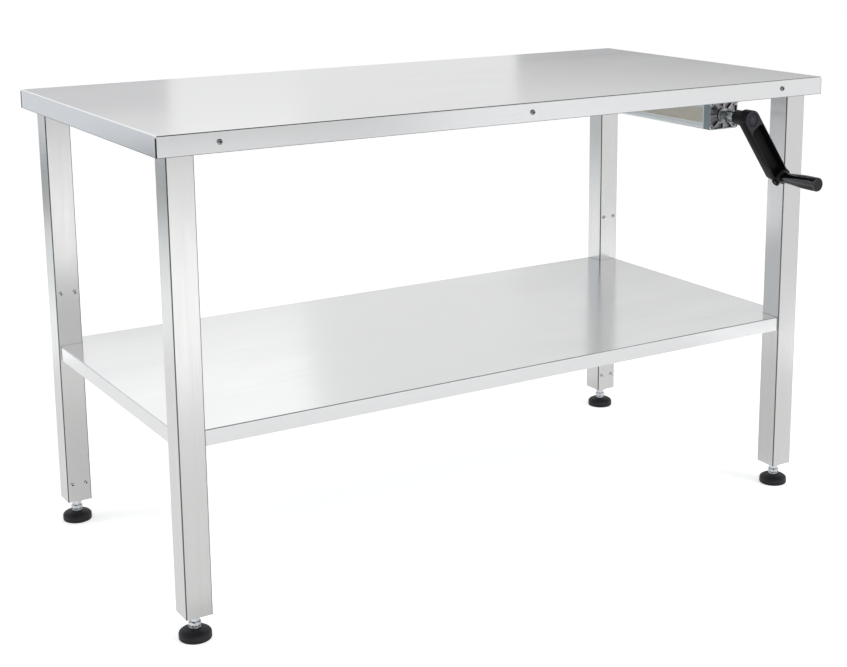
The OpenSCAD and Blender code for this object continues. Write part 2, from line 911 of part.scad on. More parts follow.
module pump_front_cap() {
    color(ZINC)
        at_pump()
            difference() {
                prism_y(pump_y0, body_y0)
                    difference() {
                        round_rect(pump_w, pump_h, pump_r);
                        circle(d = screw_d + 2 * eps);
                        for (p = CAP_SCREWS)
                            translate(p)
                                circle(d = m5 + 2 * hole_gap);
                    }
                prism_y(pump_y0 - eps, pump_y0 + pocket_d)
                    cap_pockets();
                rod_y(bearing_d, body_y0 - bearing_l, body_y0 + eps, 0, 0);
            }
}

module screw_bearing() {
    color("dimgray")
        at_pump()
            difference() {
                rod_y(bearing_d - snug, body_y0 - bearing_l, body_y0, 0, 0);
                rod_y(screw_d + 2 * run_gap, body_y0 - bearing_l - eps, body_y0 + eps, 0, 0);
            }
}

module pump_rear_cap() {
    color(ZINC)
        at_pump()
            prism_y(body_y1, pump_y1)
                difference() {
                    round_rect(pump_w, pump_h, pump_r);
                    for (p = PLUNGERS)
                        translate(p)
                            circle(d = oil_bore);
                    for (p = CAP_SCREWS)
                        translate(p)
                            circle(d = m5 + 2 * hole_gap);
                }
}

module pump_cap_screws() {
    length = cap_t + 14;
    color(ZINC)
        at_pump()
            for (p = CAP_SCREWS) {
                translate([p[0], pump_y0, p[1]])
                    rotate([90, 0, 0])
                        button_screw(m5, m5_head, length);
                translate([p[0], pump_y1, p[1]])
                    rotate([-90, 0, 0])
                        button_screw(m5, m5_head, length);
            }
}

// Plates between the hat channels and the pump
module pump_plates() {
    top = pump_h / 2;
    color(ZINC)
        at_pump()
            for (y = HANG_YS)
                difference() {
                    block([-hang_x, y - hang_w / 2, top], [hang_x, y + hang_w / 2, top + hang_t]);
                    for (s = [-1, 1])
                        rod_z(m6 + 2 * hole_gap, top - eps, top + hang_t + eps, s * hang_hole_x, y);
                }
}

module pump_plate_screws() {
    color(ZINC)
        at_pump()
            for (y = HANG_YS, s = [-1, 1])
                translate([s * hang_hole_x, y, pump_h / 2])
                    rotate([180, 0, 0])
                        button_screw(m6, m6_head, hang_t);
}

// Blank plate on the side of the pump
module pump_label_plate() {
    x = -pump_w / 2;
    y = body_y0 + label_in;
    color("#ece9dc")
        at_pump()
            block([x - label_t, y, -label_h / 2], [x, y + label_l, label_h / 2]);
}

// Screw of the pump: a plain core that runs from the crank into the block
module lead_screw() {
    color(ZINC)
        at_pump() {
            rod_y(drive_d, drive_y0, drive_y1, 0, 0);
            rod_y(screw_d, drive_y1, bore_y1 - 3, 0, 0);
        }
}

// Coupling between the crank's hub and the screw
module crank_coupling() {
    color(ZINC)
        at_pump()
            difference() {
                union() {
                    rod_y(coupling_d, hub_y1, coupling_y1, 0, 0);
                    rod_y(neck_d, coupling_y1, pump_y0 - 1, 0, 0);
                }
                rod_y(drive_d + snug, hub_y1 - eps, drive_y1, 0, 0);
                rod_y(screw_d + snug, drive_y1, pump_y0, 0, 0);
            }
}

// The arm hangs along -Z here, and is then turned to its resting angle
module in_arm() {
    at_pump()
        rotate([0, -crank_angle, 0])
            children();
}

module arm_outline() {
    half = arm_w / 2;
    circle(d = arm_w);
    polygon([[-half, 0], [half, 0], [half, arm_corner - arm_end], [half - arm_corner, -arm_end],
        [arm_cut_x - half, -arm_end], [-half, arm_cut_z - arm_end]]);
}

module slot_outline() {
    low = arm_len + knuckle_d / 2 + 1;
    translate([-slot_w / 2, -low])
        square([slot_w, low - slot_top - slot_r]);
    translate([-slot_w / 2 + slot_r, -low])
        square([slot_w - 2 * slot_r, low - slot_top]);
    for (s = [-1, 1])
        translate([s * (slot_w / 2 - slot_r), -slot_top - slot_r])
            circle(slot_r);
}

// Crank arm: the head with its hub, and a channel that takes the folded grip
module crank_arm() {
    color(BLACK)
        in_arm()
            difference() {
                union() {
                    prism_y(arm_y0, arm_y1)
                        arm_outline();
                    rod_y(hub_d, arm_y1 - 1, hub_y1, 0, 0);
                    rod_x(knuckle_d, -arm_w / 2, arm_w / 2, pin_y, -arm_len);
                }
                prism_y(arm_y0 - knuckle_d, arm_y1 - web_t)
                    slot_outline();
                rod_y(drive_d + snug, drive_y0 - 1, hub_y1 + eps, 0, 0);
                rod_y(cover_d + 2 * fit, arm_y0 - eps, arm_y0 + hole_gap + cover_t, 0, 0);
                rod_x(pin_d + snug, -arm_w, arm_w, pin_y, -arm_len);
            }
}

// Disc that covers the hub's screw
module hub_cover() {
    color(BLACK)
        in_arm()
            difference() {
                rod_y(cover_d, arm_y0 + hole_gap, arm_y0 + hole_gap + cover_t, 0, 0);
                rod_y(dimple_d, arm_y0, arm_y0 + cover_t / 2, 0, 0);
            }
}

module fold_pin() {
    color(ZINC)
        in_arm()
            rod_x(pin_d, -arm_w / 2 + eps, arm_w / 2 - eps, pin_y, -arm_len);
}

// Knuckle on the hinge pin, with the spindle that the grip turns on
module grip_spindle() {
    color(NYLON)
        in_arm()
            difference() {
                union() {
                    rod_x(knuckle_d, -slot_w / 2 + eps, slot_w / 2 - eps, pin_y, -arm_len);
                    rod_y(spindle_d, grip_y0 + grip_cap_t + 1, pin_y, 0, -arm_len);
                }
                rod_x(pin_d + 2 * run_gap, -slot_w, slot_w, pin_y, -arm_len);
            }
}

// Radius of the grip at a share t of its length from the arm
function grip_r(t) = grip_neck / 2 + (grip_d - grip_neck) / 2 * (3 * t * t - 2 * t * t * t);

module grip_sleeve() {
    r = grip_d / 2;
    side = [for (i = [0:grip_steps]) [grip_r(i / grip_steps), grip_l * grip_swell * i / grip_steps]];
    color(BLACK)
        in_arm()
            translate([0, grip_y1, -arm_len])
                rotate([90, 0, 0])
                    difference() {
                        rotate_extrude()
                            polygon(concat([[0, 0]], side,
                                [[r, grip_l - grip_edge], [r - grip_edge, grip_l], [0, grip_l]]));
                        translate([0, 0, -eps])
                            cylinder(d = spindle_d + 2 * run_gap, h = grip_l + 2 * eps);
                        translate([0, 0, grip_l - grip_cap_t])
                            cylinder(d = grip_plug_d, h = grip_cap_t + eps);
                    }
}

// Plug in the outer end of the grip
module grip_cap() {
    color(NYLON)
        in_arm()
            rod_y(grip_plug_d - snug, grip_y0 + fit, grip_y0 + grip_cap_t, 0, -arm_len);
}

// Crosshead that the screw drives, and that pushes the four plungers
module crosshead() {
    color("dimgray")
        at_pump()
            difference() {
                prism_y(head_y, head_y + head_t)
                    pump_inside(fit + snug);
                rod_y(screw_d + 2 * run_gap, head_y - eps, head_y + head_t + eps, 0, 0);
            }
}

module plungers() {
    color(ZINC)
        at_pump()
            for (p = PLUNGERS)
                rod_y(plunger_d, head_y + head_t, plunger_end, p[0], p[1]);
}

top_pan();
long_rail(-1);  // front_rail
long_rail(1);  // rear_rail
short_rail(-1);  // left_rail
short_rail(1);  // right_rail
top_stiffeners();
top_screws();
corner_plates();
leg(FL);  // leg_fl
leg(FR);  // leg_fr
leg(RL);  // leg_rl
leg(RR);  // leg_rr
shelf_pan();
shelf_stiffeners();
shelf_brackets();
shelf_screws();
lift_cylinders();
cylinder_glands();
mounting_blocks(block_lo);  // lower_blocks
mounting_blocks(block_hi);  // upper_blocks
cylinder_screws();
line(ROUTE_FL);  // line_fl
line(ROUTE_FR);  // line_fr
line(ROUTE_RL);  // line_rl
line(ROUTE_RR);  // line_rr
line_fittings();
line_grommets();
line_clips();
pump_housing();
pump_block();
pump_front_cap();
pump_rear_cap();
pump_cap_screws();
pump_plates();
pump_plate_screws();
pump_label_plate();
screw_bearing();
lead_screw();
crank_coupling();
crank_arm();
hub_cover();
fold_pin();
grip_spindle();
grip_sleeve();
grip_cap();
crosshead();
plungers();
ram(FL);  // ram_fl
ram(FR);  // ram_fr
ram(RL);  // ram_rl
ram(RR);  // ram_rr
foot(FL);  // foot_fl
foot(FR);  // foot_fr
foot(RL);  // foot_rl
foot(RR);  // foot_rr
stem(FL);  // stem_fl
stem(FR);  // stem_fr
stem(RL);  // stem_rl
stem(RR);  // stem_rr
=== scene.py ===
# %% [markdown]
# Looks for a height-adjustable instrument table of stainless steel.
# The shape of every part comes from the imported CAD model, which is loaded as a frame
# that must not be moved. This lesson adds what the frame lacks: brushed grain, bright
# screws, moulded plastic, softer edges on the pieces that show, light and a camera.

# %% Load the frame
import json
import math

import bmesh
import bpy
from mathutils import Matrix, Vector


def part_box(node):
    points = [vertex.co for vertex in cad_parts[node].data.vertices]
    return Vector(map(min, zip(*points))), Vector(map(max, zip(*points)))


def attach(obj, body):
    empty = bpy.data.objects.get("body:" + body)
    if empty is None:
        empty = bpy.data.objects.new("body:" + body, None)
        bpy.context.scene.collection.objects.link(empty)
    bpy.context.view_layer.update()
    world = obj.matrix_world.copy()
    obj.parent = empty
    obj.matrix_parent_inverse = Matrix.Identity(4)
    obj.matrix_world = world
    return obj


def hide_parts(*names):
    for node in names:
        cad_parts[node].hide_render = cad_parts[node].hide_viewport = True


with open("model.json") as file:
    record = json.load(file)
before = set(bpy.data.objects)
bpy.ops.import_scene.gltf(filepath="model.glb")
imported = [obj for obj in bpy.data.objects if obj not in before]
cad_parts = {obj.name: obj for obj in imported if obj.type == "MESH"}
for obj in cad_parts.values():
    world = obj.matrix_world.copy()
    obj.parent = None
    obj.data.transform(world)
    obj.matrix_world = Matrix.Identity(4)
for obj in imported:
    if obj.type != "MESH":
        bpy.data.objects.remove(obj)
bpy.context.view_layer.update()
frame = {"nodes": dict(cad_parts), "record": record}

NODES = frame["nodes"]
BODIES = frame["record"]["behaviour"]["bodies"]
BODY_OF = {node: body for body, nodes in BODIES.items() for node in nodes}
CORNERS = ("fl", "fr", "rl", "rr")

# %% [markdown]
# The camera stands where the photographer stood: in front of the left end, a little
# above the top. It could be placed by eye, but a camera matched to many known points
# of the table gives the right perspective at once. The place, the direction and the
# focal length below come from such a match. The picture's centre isn't where the lens
# points, and a small shift of the lens makes up for that without tilting the uprights.

# %% Camera
SENSOR = 36.0
PICTURE = (847, 667)
FOCAL_PX = 1559.59
AIM_PX = (470.0, 228.0)
CAMERA_AT = Vector((-1.6927, -2.8344, 1.3382))
TURN, TILT, ROLL = math.radians(32.265), math.radians(12.209), math.radians(-0.244)
NEAREST, FARTHEST = 0.05, 60.0


def camera_axes(turn, tilt, roll):
    """Right, up and back of a camera that looks along turn and tilt, as a matrix."""
    level = math.cos(tilt)
    ahead = Vector((math.sin(turn) * level, math.cos(turn) * level, -math.sin(tilt)))
    right = ahead.cross(Vector((0, 0, 1))).normalized()
    up = right.cross(ahead)
    x = right * math.cos(roll) + up * math.sin(roll)
    y = up * math.cos(roll) - right * math.sin(roll)
    return Matrix((x, y, -ahead)).transposed()


lens = bpy.data.cameras.new("lens")
lens.sensor_width = SENSOR
lens.lens = FOCAL_PX / PICTURE[0] * SENSOR
lens.shift_x = (PICTURE[0] / 2 - AIM_PX[0]) / PICTURE[0]
lens.shift_y = (AIM_PX[1] - PICTURE[1] / 2) / PICTURE[0]
lens.clip_start, lens.clip_end = NEAREST, FARTHEST
camera = bpy.data.objects.new("camera", lens)
camera.matrix_world = Matrix.Translation(CAMERA_AT) @ camera_axes(TURN, TILT, ROLL).to_4x4()
scene = bpy.context.scene
scene.collection.objects.link(camera)
scene.camera = camera
scene.view_settings.view_transform = "Standard"
print("lens", round(lens.lens, 2), "mm, shift", round(lens.shift_x, 4), round(lens.shift_y, 4))

# %% [markdown]
# Materials, the world and the floor are all small networks of nodes. Each network is
# built in code, so a short helper that adds a node and sets its values saves many
# lines. A second one answers a question that the world and the floor both ask: does
# this ray come from the camera or from a mirror-like face, or is it gathering light?

# %% Node helpers
def add_node(tree, kind, x=0, y=0, **settings):
    """A new node of a tree at x, y, with its options set by name."""
    node = tree.nodes.new(kind)
    node.location = (x, y)
    for name, value in settings.items():
        setattr(node, name, value)
    return node


def looked_at(tree):
    """1 where a ray comes from the camera, a glossy face or a clear one, and 0 elsewhere."""
    path = add_node(tree, "ShaderNodeLightPath", -900, 0)
    first = add_node(tree, "ShaderNodeMath", -700, 0, operation="MAXIMUM")
    second = add_node(tree, "ShaderNodeMath", -500, 0, operation="MAXIMUM")
    tree.links.new(path.outputs["Is Camera Ray"], first.inputs[0])
    tree.links.new(path.outputs["Is Glossy Ray"], first.inputs[1])
    tree.links.new(first.outputs[0], second.inputs[0])
    tree.links.new(path.outputs["Is Transmission Ray"], second.inputs[1])
    return second.outputs[0]


def to_range(tree, value, low, high, x, y, from_low=0.3, from_high=0.7):
    """Stretches a value between from_low and from_high over the range low to high."""
    node = add_node(tree, "ShaderNodeMapRange", x, y)
    node.inputs["From Min"].default_value = from_low
    node.inputs["From Max"].default_value = from_high
    node.inputs["To Min"].default_value = low
    node.inputs["To Max"].default_value = high
    tree.links.new(value, node.inputs["Value"])
    return node.outputs["Result"]


print("node helpers ready")

# %% [markdown]
# A product photograph has no horizon: the table stands in a white room. Steel shows
# hardly any colour of its own, so what it mirrors is most of its look. Here the walls
# are white and the ceiling is nearly black, which draws the thin dark line along a
# folded front edge. The light that the world gives to matt pieces is set apart from
# that, so that a bright backdrop doesn't bleach them.

# %% World
SKY_LIGHT, SKY_TINT = 0.55, (0.97, 0.985, 1.0)
WALL, CEILING = 1.0, 0.08
WALL_TOP, CEILING_FROM = math.sin(math.radians(28)), math.sin(math.radians(44))

world = bpy.data.worlds.new("white_room")
world.use_nodes = True
scene.world = world
room = world.node_tree
room.nodes.clear()
direction = add_node(room, "ShaderNodeTexCoord", -900, 300)
upward = add_node(room, "ShaderNodeSeparateXYZ", -700, 300)
room.links.new(direction.outputs["Generated"], upward.inputs[0])
brightness = to_range(room, upward.outputs["Z"], WALL, CEILING, -500, 300, WALL_TOP, CEILING_FROM)
seen = add_node(room, "ShaderNodeBackground", -200, 100)
seen.inputs["Color"].default_value = (1.0, 1.0, 1.0, 1.0)
room.links.new(brightness, seen.inputs["Strength"])
unseen = add_node(room, "ShaderNodeBackground", -200, -100)
unseen.inputs["Color"].default_value = (*SKY_TINT, 1.0)
unseen.inputs["Strength"].default_value = SKY_LIGHT
choose = add_node(room, "ShaderNodeMixShader", 0, 0)
room_out = add_node(room, "ShaderNodeOutputWorld", 200, 0)
room.links.new(looked_at(room), choose.inputs[0])
room.links.new(unseen.outputs[0], choose.inputs[1])
room.links.new(seen.outputs[0], choose.inputs[2])
room.links.new(choose.outputs[0], room_out.inputs["Surface"])
print("world lights matt pieces with", SKY_LIGHT)

# %% [markdown]
# The floor is a wide plane of pale paint. Where the camera or a polished face looks at
# it, a glow is added to its own lit paint: the open floor comes out white, and the
# table's shadow stays on it, only paler.

# %% Floor
FLOOR_SIZE = 40.0
FLOOR_PAINT = (0.86, 0.86, 0.86)
FLOOR_GLOW = 0.54

paint = bpy.data.materials.new("floor_paint")
paint.use_nodes = True
tree = paint.node_tree
tree.nodes.clear()
matt = add_node(tree, "ShaderNodeBsdfDiffuse", -200, 200)
matt.inputs["Color"].default_value = (*FLOOR_PAINT, 1.0)
glow = add_node(tree, "ShaderNodeEmission", -200, -100)
glow.inputs["Color"].default_value = (1.0, 1.0, 1.0, 1.0)
glow.inputs["Strength"].default_value = FLOOR_GLOW
both = add_node(tree, "ShaderNodeAddShader", 0, -50)
pick = add_node(tree, "ShaderNodeMixShader", 200, 0)
out = add_node(tree, "ShaderNodeOutputMaterial", 400, 0)
tree.links.new(matt.outputs[0], both.inputs[0])
tree.links.new(glow.outputs[0], both.inputs[1])
tree.links.new(looked_at(tree), pick.inputs[0])
tree.links.new(matt.outputs[0], pick.inputs[1])
tree.links.new(both.outputs[0], pick.inputs[2])
tree.links.new(pick.outputs[0], out.inputs["Surface"])

bpy.ops.mesh.primitive_plane_add(size=FLOOR_SIZE, location=(0, 0, 0))
floor = bpy.context.object
floor.name = "floor"
floor.data.materials.append(paint)
print("floor", FLOOR_SIZE, "m wide")

# %% [markdown]
# Two large soft boxes light the table, as in a small studio: a broad one high at the
# front right, and a weaker one at the left. A bigger lamp gives softer shadows, so both
# are wider than the table is deep. Neither is mirrored in the steel. A lamp is so bright
# that it would burn a white line into every front edge and a white patch into the top.

# %% Lamps
def soft_box(name, at, toward, size, power, tint=(1.0, 1.0, 1.0)):
    """A square area lamp that stands at one point and faces another."""
    light = bpy.data.lights.new(name, "AREA")
    light.shape = "SQUARE"
    light.size = size
    light.energy = power
    light.color = tint
    lamp = bpy.data.objects.new(name, light)
    lamp.location = at
    lamp.rotation_mode = "QUATERNION"
    lamp.rotation_quaternion = (Vector(toward) - Vector(at)).to_track_quat("-Z", "Y")
    lamp.visible_glossy = False
    scene.collection.objects.link(lamp)
    print(name, power, "W")


soft_box("key_lamp", (2.2, -3.4, 3.0), (0, 0, 0.5), 2.2, 75.0)
soft_box("fill_lamp", (-3.0, 1.2, 2.8), (0, 0, 0.5), 1.2, 22.0, (0.94, 0.97, 1.0))

# %% [markdown]
# Photographers of steel also put screens and cards of grey, black and white round the
# table. They are never in the picture, but the metal mirrors them. The camera looks down
# a little, so upright faces mirror the floor, and the cards for them lie there. The top
# mirrors what stands behind the table, where the cards shade it from one end to the
# other. A screw's dome mirrors the whole room, and the black card darkens one side of it.
# The round screen far out keeps all the rest a quiet grey, from any side. They are
# surfaces that only mirror-like faces can see, so they take no light away and cast no
# shadow.

# %% Cards
ON_FLOOR, ON_CARD = 0.002, 0.004


def mirrored_only(name, points, faces, shade):
    """A glowing surface of one shade that only mirror-like faces can see."""
    mesh = bpy.data.meshes.new(name)
    mesh.from_pydata(points, [], faces)
    board = bpy.data.materials.new(name + "_board")
    board.use_nodes = True
    nodes = board.node_tree
    nodes.nodes.clear()
    face = add_node(nodes, "ShaderNodeEmission", 0, 0)
    face.inputs["Color"].default_value = (*shade, 1.0)
    end = add_node(nodes, "ShaderNodeOutputMaterial", 200, 0)
    nodes.links.new(face.outputs[0], end.inputs["Surface"])
    mesh.materials.append(board)
    piece = bpy.data.objects.new(name, mesh)
    scene.collection.objects.link(piece)
    piece.visible_camera = piece.visible_diffuse = piece.visible_shadow = False
    piece.visible_transmission = piece.visible_volume_scatter = False
    return piece


def card(name, at, toward, width, height, shade):
    """A plane of one shade, standing at one point and facing another."""
    w, h = width / 2, height / 2
    corners = [(-w, -h, 0), (w, -h, 0), (w, h, 0), (-w, h, 0)]
    piece = mirrored_only(name, corners, [(0, 1, 2, 3)], shade)
    piece.location = at
    piece.rotation_mode = "QUATERNION"
    piece.rotation_quaternion = (Vector(toward) - Vector(at)).to_track_quat("Z", "Y")
    print(name, width, "by", height, "m")


def floor_card(name, x, y, width, depth, shade, lift=ON_FLOOR):
    """A card that lies on the floor, or on another card."""
    card(name, (x, y, lift), (x, y, 1.0), width, depth, shade)


def round_screen(name, radius, height, shade, count=64):
    """An upright screen all round the table."""
    turns = [2 * math.pi * i / count for i in range(count)]
    points = [(radius * math.cos(t), radius * math.sin(t), z) for z in (0.0, height) for t in turns]
    faces = [(i, (i + 1) % count, count + (i + 1) % count, count + i) for i in range(count)]
    mirrored_only(name, points, faces, shade)
    print(name, radius, "m round the table")


def grey(level):
    """A neutral shade. 1 is white paper, and more is paper with a lamp on it."""
    return (level, level, level)


card("black_card_front", (-4.2, -2.6, 1.4), (0, -0.4, 1.4), 4.4, 2.8, grey(0.03))
card("grey_card_end", (-4.6, 0.3, 1.2), (0, 0, 1.2), 3.0, 2.4, (0.42, 0.43, 0.44))
card("grey_card_left", (-2.6, 3.4, 1.0), (0, 0, 1.0), 3.4, 2.0, (0.70, 0.73, 0.76))
card("grey_card_right", (5.6, 4.4, 0.89), (0, 0, 0.89), 4.2, 1.77, (0.28, 0.28, 0.29))
round_screen("grey_screen", 9.5, 5.1, grey(0.84))
card("white_card_high", (-3.0, 1.2, 2.8), (0, 0, 0.5), 1.4, 1.4, (0.95, 0.97, 1.0))
floor_card("white_card_front", 0.15, -2.8, 1.5, 1.7, grey(1.46))
card("grey_card_rear", (1.3, 6.6, 1.2), (0, 0, 1.2), 1.3, 1.7, (0.52, 0.52, 0.53))
card("white_card_rear", (0.5, 5.9, 3.0), (0, 0, 0.7), 4.2, 1.7, grey(1.12))
floor_card("grey_card_under", 0.3, -0.2, 2.2, 3.0, grey(0.86))
floor_card("pale_card_left", -1.25, 0.0, 0.9, 3.0, grey(0.90))
floor_card("grey_card_middle", -0.05, 0.0, 1.3, 1.0, grey(0.68), ON_CARD)
floor_card("dark_card_left", -3.2, 3.5, 1.3, 1.4, (0.36, 0.37, 0.38), ON_CARD)
floor_card("grey_card_side", 5.8, -5.8, 3.4, 2.4, grey(0.90))
floor_card("grey_card_front", 3.2, -2.9, 3.4, 3.2, grey(0.86))
floor_card("grey_card_far", 1.0, -5.7, 3.6, 1.8, grey(0.62))
card("grey_card_beyond", (1.5, -7.0, 0.6), (0, 0, 0.6), 4.0, 1.3, grey(0.50))
floor_card("grey_card_corner", -1.9, 3.1, 2.0, 1.6, (0.93, 0.95, 0.97))
card("dark_card_corner", (-2.3, 3.05, 0.15), (0, 0, 0.15), 2.0, 0.3, (0.30, 0.31, 0.32))

# %% [markdown]
# Every finish on the table is a network that ends in one Principled shader. What makes a
# surface look real is that its tone and gloss change a little from place to place. A
# photograph of the surface could be wrapped round each part, but noise needs no picture
# and fits a part of any size. It is read in the part's own coordinates, in metres, so
# the grain keeps its real scale.

# %% Helpers for finishes
NOISE_ROUGHNESS = 0.6


def stretched_noise(tree, along, fine, coarse, x, y, detail=3.0):
    """Noise with fine detail across the grain and long runs along it. Scales are per metre."""
    place = add_node(tree, "ShaderNodeTexCoord", x - 400, y)
    squeeze = add_node(tree, "ShaderNodeMapping", x - 200, y)
    scale = [fine, fine, fine]
    scale["XYZ".index(along)] = coarse
    squeeze.inputs["Scale"].default_value = scale
    noise = add_node(tree, "ShaderNodeTexNoise", x, y)
    noise.inputs["Scale"].default_value = 1.0
    noise.inputs["Detail"].default_value = detail
    noise.inputs["Roughness"].default_value = NOISE_ROUGHNESS
    tree.links.new(place.outputs["Object"], squeeze.inputs["Vector"])
    tree.links.new(squeeze.outputs["Vector"], noise.inputs["Vector"])
    return noise.outputs["Fac"]


def blend_colours(tree, share, dark, light, x, y):
    """A colour between dark and light, by a share from 0 to 1."""
    node = add_node(tree, "ShaderNodeMix", x, y, data_type="RGBA")
    node.inputs[6].default_value = (*dark, 1.0)
    node.inputs[7].default_value = (*light, 1.0)
    tree.links.new(share, node.inputs[0])
    return node.outputs[2]


def new_finish(name):
    """An empty material, with its tree and its shader."""
    material = bpy.data.materials.new(name)
    material.use_nodes = True
    tree = material.node_tree
    tree.nodes.clear()
    shader = add_node(tree, "ShaderNodeBsdfPrincipled", 400, 0)
    end = add_node(tree, "ShaderNodeOutputMaterial", 700, 0)
    tree.links.new(shader.outputs[0], end.inputs["Surface"])
    return material, tree, shader


def give_bump(tree, shader, height, depth):
    """Tilts the surface's shading by a height, as if it were that deep in metres."""
    bump = add_node(tree, "ShaderNodeBump", 100, -400)
    bump.inputs["Distance"].default_value = depth
    tree.links.new(height, bump.inputs["Height"])
    tree.links.new(bump.outputs["Normal"], shader.inputs["Normal"])


print("helpers for finishes ready")

# %% [markdown]
# Stainless sheet is sold with a brushed face: a belt draws fine parallel scratches along
# the sheet before it is cut and folded. Seen close by, each scratch is a tiny bump. From
# further off they only blur the reflection and leave faint long streaks. So the noise is
# stretched along the grain, in three sizes: hair lines, streaks a few millimetres wide,
# and a broad cloudiness from handling.

# %% Brushed steel
HAIR, CLOUD = (2600.0, 14.0), (7.0, 3.0)
STREAK_RUN, SCRATCH_DEPTH = 2.2, 0.000003
TONE_SPREAD = (0.35, 0.65)
TOP_LOOK = {"dark": (0.815, 0.820, 0.827), "light": (0.845, 0.850, 0.857), "rough": (0.14, 0.20)}
LEG_LOOK = {"dark": (0.675, 0.676, 0.670), "light": (0.735, 0.736, 0.730), "rough": (0.20, 0.28)}
SIDE_LOOK = {"dark": (0.66, 0.665, 0.67), "light": (0.74, 0.745, 0.75), "rough": (0.24, 0.34)}


def mix_floats(tree, a, b, share, x, y):
    """A blend of two values."""
    node = add_node(tree, "ShaderNodeMix", x, y, data_type="FLOAT")
    node.inputs[0].default_value = share
    tree.links.new(a, node.inputs[2])
    tree.links.new(b, node.inputs[3])
    return node.outputs[0]


def brushed_steel(name, along, dark, light, rough, streak=260.0):
    """A metal with its grain along one axis."""
    material, tree, shader = new_finish(name)
    hair = stretched_noise(tree, along, *HAIR, -900, 300, 2.0)
    band = stretched_noise(tree, along, streak, STREAK_RUN, -900, 0)
    cloud = stretched_noise(tree, along, *CLOUD, -900, -300, 4.0)
    lines = mix_floats(tree, hair, band, 0.5, -600, 150)
    tone = mix_floats(tree, lines, cloud, 0.4, -400, 50)
    share = to_range(tree, tone, 0.0, 1.0, -200, 100, *TONE_SPREAD)
    gloss = to_range(tree, tone, rough[1], rough[0], -200, -100, *TONE_SPREAD)
    tree.links.new(blend_colours(tree, share, dark, light, 0, 100), shader.inputs["Base Color"])
    tree.links.new(gloss, shader.inputs["Roughness"])
    shader.inputs["Metallic"].default_value = 1.0
    give_bump(tree, shader, lines, SCRATCH_DEPTH)
    return material


TOP_STEEL = brushed_steel("steel_brushed_along_x", "X", **TOP_LOOK)
LEG_STEEL = brushed_steel("steel_brushed_along_z", "Z", **LEG_LOOK)
SIDE_STEEL = brushed_steel("steel_brushed_along_y", "Y", **SIDE_LOOK)
print("brushed steels made:", TOP_STEEL.name, LEG_STEEL.name, SIDE_STEEL.name)

# %% [markdown]
# The sheet parts keep their CAD shape, which is already folded and rounded like the real
# ones. They only need the right grain: along the length of each part, because that is how
# sheet is cut. A material could be mapped to each part by hand, but one steel for each
# direction does for all of them.

# %% Steel on the sheet parts
def dress(names, material):
    """Puts one material on CAD nodes."""
    for name in names:
        part = NODES[name]
        part.data.materials.clear()
        part.data.materials.append(material)
    print(material.name, "on", len(names), "nodes")


dress(["shelf_pan", "front_rail", "rear_rail", "top_stiffeners", "shelf_stiffeners"], TOP_STEEL)
dress(["corner_plates", "shelf_brackets"], LEG_STEEL)
dress(["left_rail", "right_rail"], SIDE_STEEL)

# %% [markdown]
# Some dark lines are painted into the steel. The legs are tubes, and a dark grey is painted
# along their rounded corners as a painted reflection of the dark room round them. On the
# top, a grey line is painted along the lower edge of each apron as painted shade, and
# beside the open slot at each corner the steel is painted black as the slot's painted shade.
# None has a thickness to speak of. So they are masks in the steel's own material: a few
# nodes ask where a point lies on the part, and another colour is mixed in where the answer is 1.

# %% Painted shade on the steel
SEAM_REACH, SEAM_TOP, END_DEPTH, EDGE_SHADE_HEIGHT = 0.0062, 0.9362, 0.0008, 0.0011
# Painted shade: grey along the aprons' lower edge, and black beside the corner slots.
SLOT_SHADE_BLACK, EDGE_SHADE_GREY = (0.004, 0.004, 0.004), (0.30, 0.30, 0.31)
# The first colour here is a painted dark reflection along the legs' rounded corners.
CORNER_REFLECTION_GREY, LEG_HALF, LEG_ROUND = (0.13, 0.134, 0.138), 0.026, 0.002


def middle_of(node):
    """The middle of a CAD node's box."""
    low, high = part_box(node)
    return low.lerp(high, 0.5)


def reckon(tree, value, kind, number, x, y):
    """The result of one sum or test on a value and a number."""
    node = add_node(tree, "ShaderNodeMath", x, y, operation=kind)
    node.inputs[1].default_value = number
    tree.links.new(value, node.inputs[0])
    return node.outputs[0]


def place_on_part(tree):
    """Where a point lies: how far from the table's middle along x and along y, and how high."""
    place = add_node(tree, "ShaderNodeTexCoord", -1900, 900)
    parts = add_node(tree, "ShaderNodeSeparateXYZ", -1700, 900)
    tree.links.new(place.outputs["Object"], parts.inputs[0])
    along = reckon(tree, parts.outputs["X"], "ABSOLUTE", 0.0, -1500, 900)
    across = reckon(tree, parts.outputs["Y"], "ABSOLUTE", 0.0, -1500, 700)
    return along, across, parts.outputs["Z"]


def tint_where(material, tests, colour):
    """Mixes a colour into the steel where all the tests say 1."""
    tree = material.node_tree
    mask = tests[0]
    for i, test in enumerate(tests[1:]):
        product = add_node(tree, "ShaderNodeMath", -700 + 200 * i, 900, operation="MULTIPLY")
        tree.links.new(mask, product.inputs[0])
        tree.links.new(test, product.inputs[1])
        mask = product.outputs[0]
    shader = next(node for node in tree.nodes if node.type == "BSDF_PRINCIPLED")
    under = shader.inputs["Base Color"].links[0].from_socket
    mixed = blend_colours(tree, mask, colour, colour, 200, 300)
    tree.links.new(under, mixed.node.inputs[6])
    tree.links.new(mixed, shader.inputs["Base Color"])


pan_low, pan_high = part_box("top_pan")
PAN_STEEL = brushed_steel("steel_top_pan", "X", **TOP_LOOK)
tree = PAN_STEEL.node_tree
along, across, height = place_on_part(tree)
# A grey line of painted shade along the lower edge of each apron.
edge_shade_line = [reckon(tree, height, "LESS_THAN", pan_low.z + EDGE_SHADE_HEIGHT, -1300, 900)]
